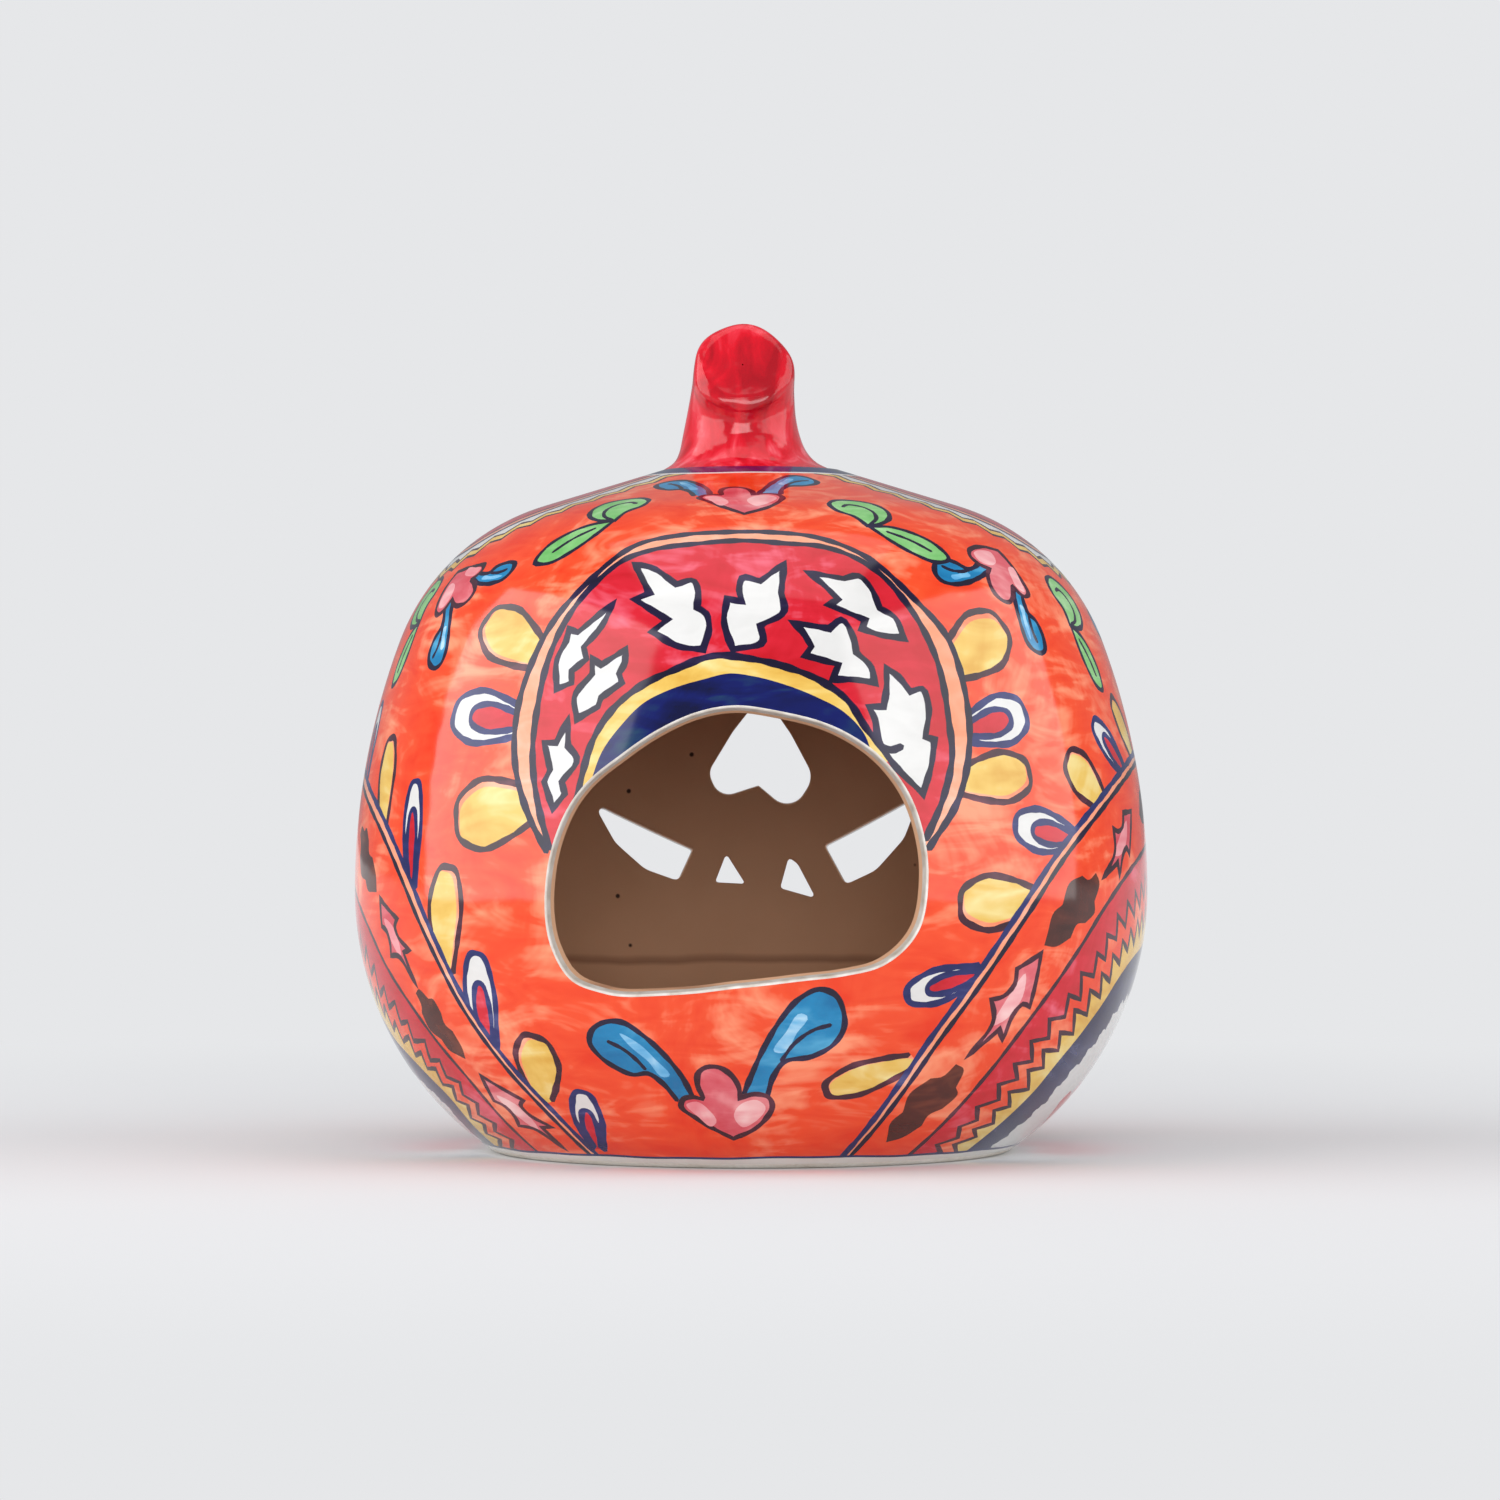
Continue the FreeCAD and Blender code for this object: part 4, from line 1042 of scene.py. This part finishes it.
glaze = {
    "coatRoughness": 0.09, "ior": 1.5,
    "washLength": 24, "streakLength": 15, "streakWidth": 5.5, "peel": 8,  # mm
    "washShare": 0.58, "streakShare": 0.42, "streakTurn": 0.35,
    "peelDepth": 0.00009, "brushDepth": 0.00003,  # metres
}


def washedPaint(name):
    full, half, thin, share = paints[name]
    material, tree, where = newMaterial("underglaze_" + name)
    brush = addNode(tree, "UVMap", {"uv_map": "brush"})
    streaks = addNode(tree, "Mapping", Vector=brush.outputs["UV"], Rotation=(0, 0, glaze["streakTurn"]),
                      Scale=(1 / glaze["streakLength"], 1 / glaze["streakWidth"], 1))
    stroke = addNode(tree, "TexNoise", Vector=streaks.outputs[0], Scale=1.0, Detail=2.5, Distortion=1.6)
    wash = addNode(tree, "TexNoise", Vector=where, Scale=1000 / glaze["washLength"], Detail=4.0,
                   Roughness=0.62, Distortion=1.2)
    streak = addNode(tree, "Math", {"operation": "MULTIPLY"}, _0=stroke.outputs[0], _1=glaze["streakShare"])
    total = addNode(tree, "Math", {"operation": "MULTIPLY_ADD"}, _0=wash.outputs[0], _1=glaze["washShare"],
                    _2=streak.outputs[0])
    edge = 0.64 - share * 0.22  # where on the noise the full wash gives way
    colour = setRamp(addNode(tree, "ValToRGB", Fac=total.outputs[0]),
                     [(edge - 0.16, full), (edge - 0.02, half), (edge + 0.12, thin)])
    ripple = addNode(tree, "TexNoise", Vector=where, Scale=1000 / glaze["peel"], Detail=1.0)
    bump = addNode(tree, "Bump", Strength=1.0, Distance=glaze["peelDepth"], Height=ripple.outputs[0])
    shader = addNode(tree, "BsdfPrincipled", Base_Color=colour, Roughness=0.38, IOR=glaze["ior"],
                     Specular_IOR_Level=0.0, Coat_Weight=1.0, Coat_Roughness=glaze["coatRoughness"],
                     Coat_IOR=glaze["ior"], Coat_Normal=bump.outputs[0])
    finishShader(tree, shader, stroke.outputs[0], glaze["brushDepth"])
    return material


def mottled(name, grain, detail, tones, roughness, ior, depth, **coat):
    # a finish with one even mottling: its grain in mm, its tones, and the depth of its bumps in metres
    material, tree, where = newMaterial(name)
    grit = addNode(tree, "TexNoise", Vector=where, Scale=1000 / grain, Detail=detail)
    colour = setRamp(addNode(tree, "ValToRGB", Fac=grit.outputs[0]), tones)
    shader = addNode(tree, "BsdfPrincipled", Base_Color=colour, Roughness=roughness, IOR=ior, **coat)
    finishShader(tree, shader, grit.outputs[0], depth)
    return material


# The cut edges of cast earthenware, wiped clean and glazed thin: off-white, a little duller than the wall.
def wipedEdge():
    tones = [(0.3, "#B6AB9E"), (0.5, "#CAC3BA"), (0.7, "#D6D2CC")]
    return mottled("wiped_glazed_edge", 2.5, 5.0, tones, 0.3, 1.5, 0.00008,
                   Coat_Weight=0.5, Coat_Roughness=0.15)


# Brown liner glaze poured inside and rolled round: one flat colour with a darker wavering band low down and
# a few iron specks.
def linerGlaze():
    material, tree, where = newMaterial("poured_brown_liner_glaze")
    cloud = addNode(tree, "TexNoise", Vector=where, Scale=1000 / 30, Detail=3.0)
    tone = setRamp(addNode(tree, "ValToRGB", Fac=cloud.outputs[0]), [(0.3, "#CA9C7A"), (0.7, "#D4A684")])
    speck = addNode(tree, "TexVoronoi", {"distance": "EUCLIDEAN"}, Vector=where, Scale=1000 / 9)
    dots = setRamp(addNode(tree, "ValToRGB", Fac=speck.outputs["Distance"]), [(0.035, 1.0), (0.06, 0.0)])
    mixed = addNode(tree, "Mix", {"data_type": "RGBA"}, Factor=dots, _6=tone, _7=linear("#3A2218"))
    # a darker band that wavers round the inside, between about 27 and 37 mm above the foot
    split = addNode(tree, "SeparateXYZ", Vector=where)
    height = addNode(tree, "MapRange", Value=split.outputs["Z"], _1=0.027, _2=0.037, _3=0.0, _4=1.0)
    wander = addNode(tree, "Math", {"operation": "MULTIPLY_ADD"}, _0=cloud.outputs[0], _1=0.3,
                     _2=height.outputs[0])
    line = setRamp(addNode(tree, "ValToRGB", Fac=wander.outputs[0]),
                   [(0.5, 0.0), (0.58, 0.75), (0.64, 0.55), (0.72, 0.0)])
    darkerBand = addNode(tree, "Mix", {"data_type": "RGBA"}, Factor=line, _6=mixed.outputs[2],
                   _7=linear("#94694F"))
    shader = addNode(tree, "BsdfPrincipled", Base_Color=darkerBand.outputs[2], Roughness=0.7, IOR=1.5,
                     Specular_IOR_Level=0.3)
    finishShader(tree, shader, cloud.outputs[0], 0.0001)
    return material


# Unglazed fired earthenware under the foot: matt, sandy, off-white with faint stains.
def bareClay():
    material, tree, where = newMaterial("bare_fired_earthenware")
    grit = addNode(tree, "TexNoise", Vector=where, Scale=1000 / 0.8, Detail=4.0)
    stain = addNode(tree, "TexNoise", Vector=where, Scale=1000 / 14, Detail=3.0)
    sandy = addNode(tree, "Math", {"operation": "MULTIPLY"}, _0=grit.outputs[0], _1=0.4)
    both = addNode(tree, "Math", {"operation": "MULTIPLY_ADD"}, _0=stain.outputs[0], _1=0.6,
                   _2=sandy.outputs[0])
    colour = setRamp(addNode(tree, "ValToRGB", Fac=both.outputs[0]),
                     [(0.35, "#CFC6BA"), (0.5, "#DCD6CC"), (0.65, "#E6E1DA")])
    shader = addNode(tree, "BsdfPrincipled", Base_Color=colour, Roughness=0.85, IOR=1.5)
    finishShader(tree, shader, grit.outputs[0], 0.00012)
    return material


print("mixing the paints")
finishes = {"rim": wipedEdge(), "lining": linerGlaze(), "bareFoot": bareClay()}
for name in paintNames:
    lantern.data.materials.append(finishes[name] if name in finishes else washedPaint(name))

print("stalk")
stalk = {
    "seat": 120.3,
    # offset across, forward, height, tilt forward, half width, half depth
    "sections": [
        (-0.6, 0.0, 0.0, 0, 15.0, 14.9), (-1.0, 0.0, 1.2, 0, 13.0, 12.9),
        (-1.4, -0.1, 3.2, 1, 11.6, 11.5),
        (-1.6, -0.2, 5.8, 5, 10.7, 10.6), (-1.6, 0.4, 8.8, 17, 10.0, 9.9),
        (-1.5, 1.6, 11.8, 32, 9.6, 9.5),
        (-1.5, 3.3, 14.7, 47, 9.3, 9.2), (-1.5, 5.5, 17.1, 60, 9.2, 9.1),
        (-1.5, 6.8, 17.8, 65, 8.9, 8.8),
        (-1.5, 7.5, 18.1, 66, 8.2, 8.1), (-1.5, 7.8, 18.3, 66, 7.2, 7.1),
    ],
    "around": 96, "between": 6, "lumps": 0.3,
    "cutTilt": 66, "dip": 0.25,  # the cut end's slant in degrees, and how far its middle sinks
}


def stalkRows():
    # rings of points from the seat to the cut end, smoothed between the sections, then in to its middle
    sections = np.array(stalk["sections"], float)
    count = (len(sections) - 1) * stalk["between"] + 1
    steps = np.linspace(0, len(sections) - 1, count)
    whole = np.minimum(steps.astype(int), len(sections) - 2)
    u = (steps - whole)[:, None]
    before, after = sections[np.maximum(whole - 1, 0)], sections[np.minimum(whole + 2, len(sections) - 1)]
    a, b = sections[whole], sections[whole + 1]
    smooth = 0.5 * (2 * a + (b - before) * u + (2 * before - 5 * a + 4 * b - after) * u ** 2
                    + (3 * a - 3 * b + after - before) * u ** 3)
    phi = np.linspace(0, 2 * math.pi, stalk["around"], endpoint=False)
    rows = []
    for k, (across, forward, height, tilt, wide, deep) in enumerate(smooth):
        lump = 1 + 0.5 * np.sin(3 * phi + k * 0.11) + 0.5 * np.sin(5 * phi - k * 0.17)
        pinch = 1 - stalk["lumps"] / wide * lump * min(1, k / 8)  # none where it meets the shell
        slant = math.radians(tilt)
        rows.append(np.column_stack((
            across + wide * np.cos(phi) * pinch,
            -forward + deep * np.sin(phi) * math.cos(slant) * pinch,
            stalk["seat"] + height + deep * np.sin(phi) * math.sin(slant) * pinch)))
    rim = rows[-1]
    middle = rim.mean(axis=0)
    slant = math.radians(stalk["cutTilt"])
    facing = np.array((0, -math.sin(slant), math.cos(slant)))
    for share in (0.9, 0.75, 0.6, 0.45, 0.3, 0.15, 0.02):
        rows.append(middle + (rim - middle) * share - facing * stalk["dip"] * (1 - share ** 4))
    return np.array(rows)


parts = []
rows = stalkRows()
spine = rows.mean(axis=1, keepdims=True)
addSheet(rows, "red", lambda r: r - spine)
places, faces, _, normals, brush = parts[0]
stalkPiece = newPiece("stalk", places, faces, None, None, brush)
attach(stalkPiece, "lantern")
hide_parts("stem")


# Red underglaze brushed thickly on the stalk, under clear glaze: pink where thin, crimson where it pooled.
def stalkGlaze():
    material, tree, where = newMaterial("brushed_crimson_stalk_glaze")
    streaks = addNode(tree, "Mapping", Vector=where, Rotation=(0.3, 0.5, 0.2),
                      Scale=(1000 / 5, 1000 / 5, 1000 / 14))
    stroke = addNode(tree, "TexNoise", Vector=streaks.outputs[0], Scale=1.0, Detail=4.0, Distortion=1.4)
    pool = addNode(tree, "VectorMath", {"operation": "DISTANCE"}, _0=where,
                   _1=(0.0005, -0.0105, 0.1355))
    near = addNode(tree, "MapRange", Value=pool.outputs["Value"], _1=0.004, _2=0.012, _3=0.26, _4=0.0)
    total = addNode(tree, "Math", {"operation": "ADD"}, _0=stroke.outputs[0], _1=near.outputs[0])
    colour = setRamp(addNode(tree, "ValToRGB", Fac=total.outputs[0]),
                     [(0.3, "#E2626C"), (0.44, "#D82A3A"), (0.56, "#CC0A20"), (0.85, "#9C0416")])
    lumps = addNode(tree, "TexNoise", Vector=where, Scale=1000 / 5, Detail=2.0)
    bump = addNode(tree, "Bump", Strength=1.0, Distance=0.0003, Height=lumps.outputs[0])
    shader = addNode(tree, "BsdfPrincipled", Base_Color=colour, Roughness=0.35, IOR=1.5,
                     Specular_IOR_Level=0.0, Coat_Weight=1.0, Coat_Roughness=0.14, Coat_IOR=1.5,
                     Coat_Normal=bump.outputs[0])
    finishShader(tree, shader, lumps.outputs[0], 0.0003)
    return material


stalkPiece.data.materials.append(stalkGlaze())

print("cup, oil and wick")


def give(node, material):
    # a CAD part keeps its shape and takes a better material
    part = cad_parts[node]
    for slot in range(max(1, len(part.data.materials))):
        if len(part.material_slots) <= slot:
            part.data.materials.append(material)
        part.material_slots[slot].material = material


# Thrown red earthenware, unglazed: matt and gritty, with turning rings and uneven firing.
def thrownTerracotta():
    material, tree, where = newMaterial("thrown_terracotta")
    rings = addNode(tree, "TexWave", {"wave_type": "BANDS", "bands_direction": "Z"}, Vector=where,
                    Scale=1000 / 1.6 / 6.283, Distortion=1.2, Detail=2.0)
    grit = addNode(tree, "TexNoise", Vector=where, Scale=1000 / 0.9, Detail=4.0)
    cloud = addNode(tree, "TexNoise", Vector=where, Scale=1000 / 9, Detail=3.0)
    total = addNode(tree, "Math", {"operation": "MULTIPLY_ADD"}, _0=rings.outputs["Fac"], _1=0.25, _2=0.1)
    both = addNode(tree, "Math", {"operation": "MULTIPLY_ADD"}, _0=cloud.outputs[0], _1=0.55,
                   _2=total.outputs[0])
    colour = setRamp(addNode(tree, "ValToRGB", Fac=both.outputs[0]),
                     [(0.3, "#8E4A30"), (0.5, "#A95C3C"), (0.7, "#BF7450")])
    shader = addNode(tree, "BsdfPrincipled", Base_Color=colour, Roughness=0.82, IOR=1.5)
    finishShader(tree, shader, grit.outputs[0], 0.00015)
    return material


# Mustard oil: amber, still and very glossy, faintly mottled where it wets the clay.
def lampOil():
    return mottled("still_mustard_oil", 7, 2.0, [(0.35, "#A8761C"), (0.65, "#C8922A")], 0.06, 1.47, 0.00002)


# Hand-rolled cotton: matt and fluffy, oil-stained, charred at the lit end.
def rolledCotton():
    material, tree, where = newMaterial("hand_rolled_cotton")
    split = addNode(tree, "SeparateXYZ", Vector=where)
    fluff = addNode(tree, "TexNoise", Vector=where, Scale=1000 / 0.5, Detail=4.0)
    char = addNode(tree, "MapRange", Value=split.outputs["Y"], _1=-0.0325, _2=-0.0275, _3=0.0, _4=1.0)
    uneven = addNode(tree, "Math", {"operation": "MULTIPLY_ADD"}, _0=fluff.outputs[0], _1=0.25,
                     _2=char.outputs[0])
    colour = setRamp(addNode(tree, "ValToRGB", Fac=uneven.outputs[0]),
                     [(0.25, "#15100D"), (0.5, "#6A4A2E"), (0.8, "#C9B78E"), (1.0, "#DDD0AE")])
    shader = addNode(tree, "BsdfPrincipled", Base_Color=colour, Roughness=0.9, IOR=1.5, Sheen_Weight=0.3)
    finishShader(tree, shader, fluff.outputs[0], 0.0003)
    return material


give("floor_slab", linerGlaze())
give("diya_bowl", thrownTerracotta())
give("oil", lampOil())
give("wick", rolledCotton())

print("floor and lamps")


# Matt seamless paper: pale and even. Its far part glows like the backdrop, so that no horizon shows.
def studioFloor():
    sides, rings = studio["floorSides"], studio["floorRings"]
    angles = np.linspace(0, 2 * math.pi, sides, endpoint=False)
    rows = [np.column_stack((r * np.cos(angles), r * np.sin(angles), np.zeros(sides)))
            for r in np.geomspace(0.002, studio["floorRadius"], rings)]
    faces = []
    for near in range(0, (rings - 1) * sides, sides):
        for j in range(sides):
            after = (j + 1) % sides
            faces.append((near + j, near + after, near + sides + after, near + sides + j))
    mesh = bpy.data.meshes.new("studio_floor")
    mesh.from_pydata(np.vstack(rows).tolist(), [], faces)
    floor = bpy.data.objects.new("studio_floor", mesh)
    scene.collection.objects.link(floor)
    material, tree, where = newMaterial("matt_paper_floor")
    length = addNode(tree, "VectorMath", {"operation": "LENGTH"}, Vector=where)
    far = addNode(tree, "MapRange", {"interpolation_type": "SMOOTHSTEP"}, Value=length.outputs["Value"],
                  _1=studio["glowFrom"], _2=studio["glowFull"], _3=0.0, _4=1.0)
    paper = addNode(tree, "BsdfDiffuse", Color=linear(studio["floor"]))
    glow = addNode(tree, "Emission", Color=linear(studio["backdrop"]), Strength=1.0)
    mixed = addNode(tree, "MixShader", _0=far.outputs[0], _1=paper.outputs[0], _2=glow.outputs[0])
    finishShader(tree, mixed)
    mesh.materials.append(material)
    return floor


studioFloor()
for name, at, aim, wide, high, watts in studio["lamps"]:
    lamp = bpy.data.lights.new(name, "AREA")
    lamp.shape = "RECTANGLE"
    lamp.size, lamp.size_y = wide, high
    lamp.energy = watts
    holder = bpy.data.objects.new(name, lamp)
    holder.location = at
    holder.rotation_euler = (Vector(aim) - Vector(at)).to_track_quat("-Z", "Y").to_euler()
    scene.collection.objects.link(holder)
# the backdrop is seen at full brightness and lights the scene less, as one that stands far behind
world = bpy.data.worlds.new("paper_backdrop")
world.use_nodes = True
sky = world.node_tree
sky.nodes["Background"].inputs["Color"].default_value = linear(studio["fill"])
shown = addNode(sky, "Background", Color=linear(studio["backdrop"]))
seen = addNode(sky, "LightPath")
either = addNode(sky, "MixShader", _0=seen.outputs["Is Camera Ray"], _1=sky.nodes["Background"].outputs[0],
                 _2=shown.outputs[0])
sky.links.new(either.outputs[0], sky.nodes["World Output"].inputs["Surface"])
scene.world = world
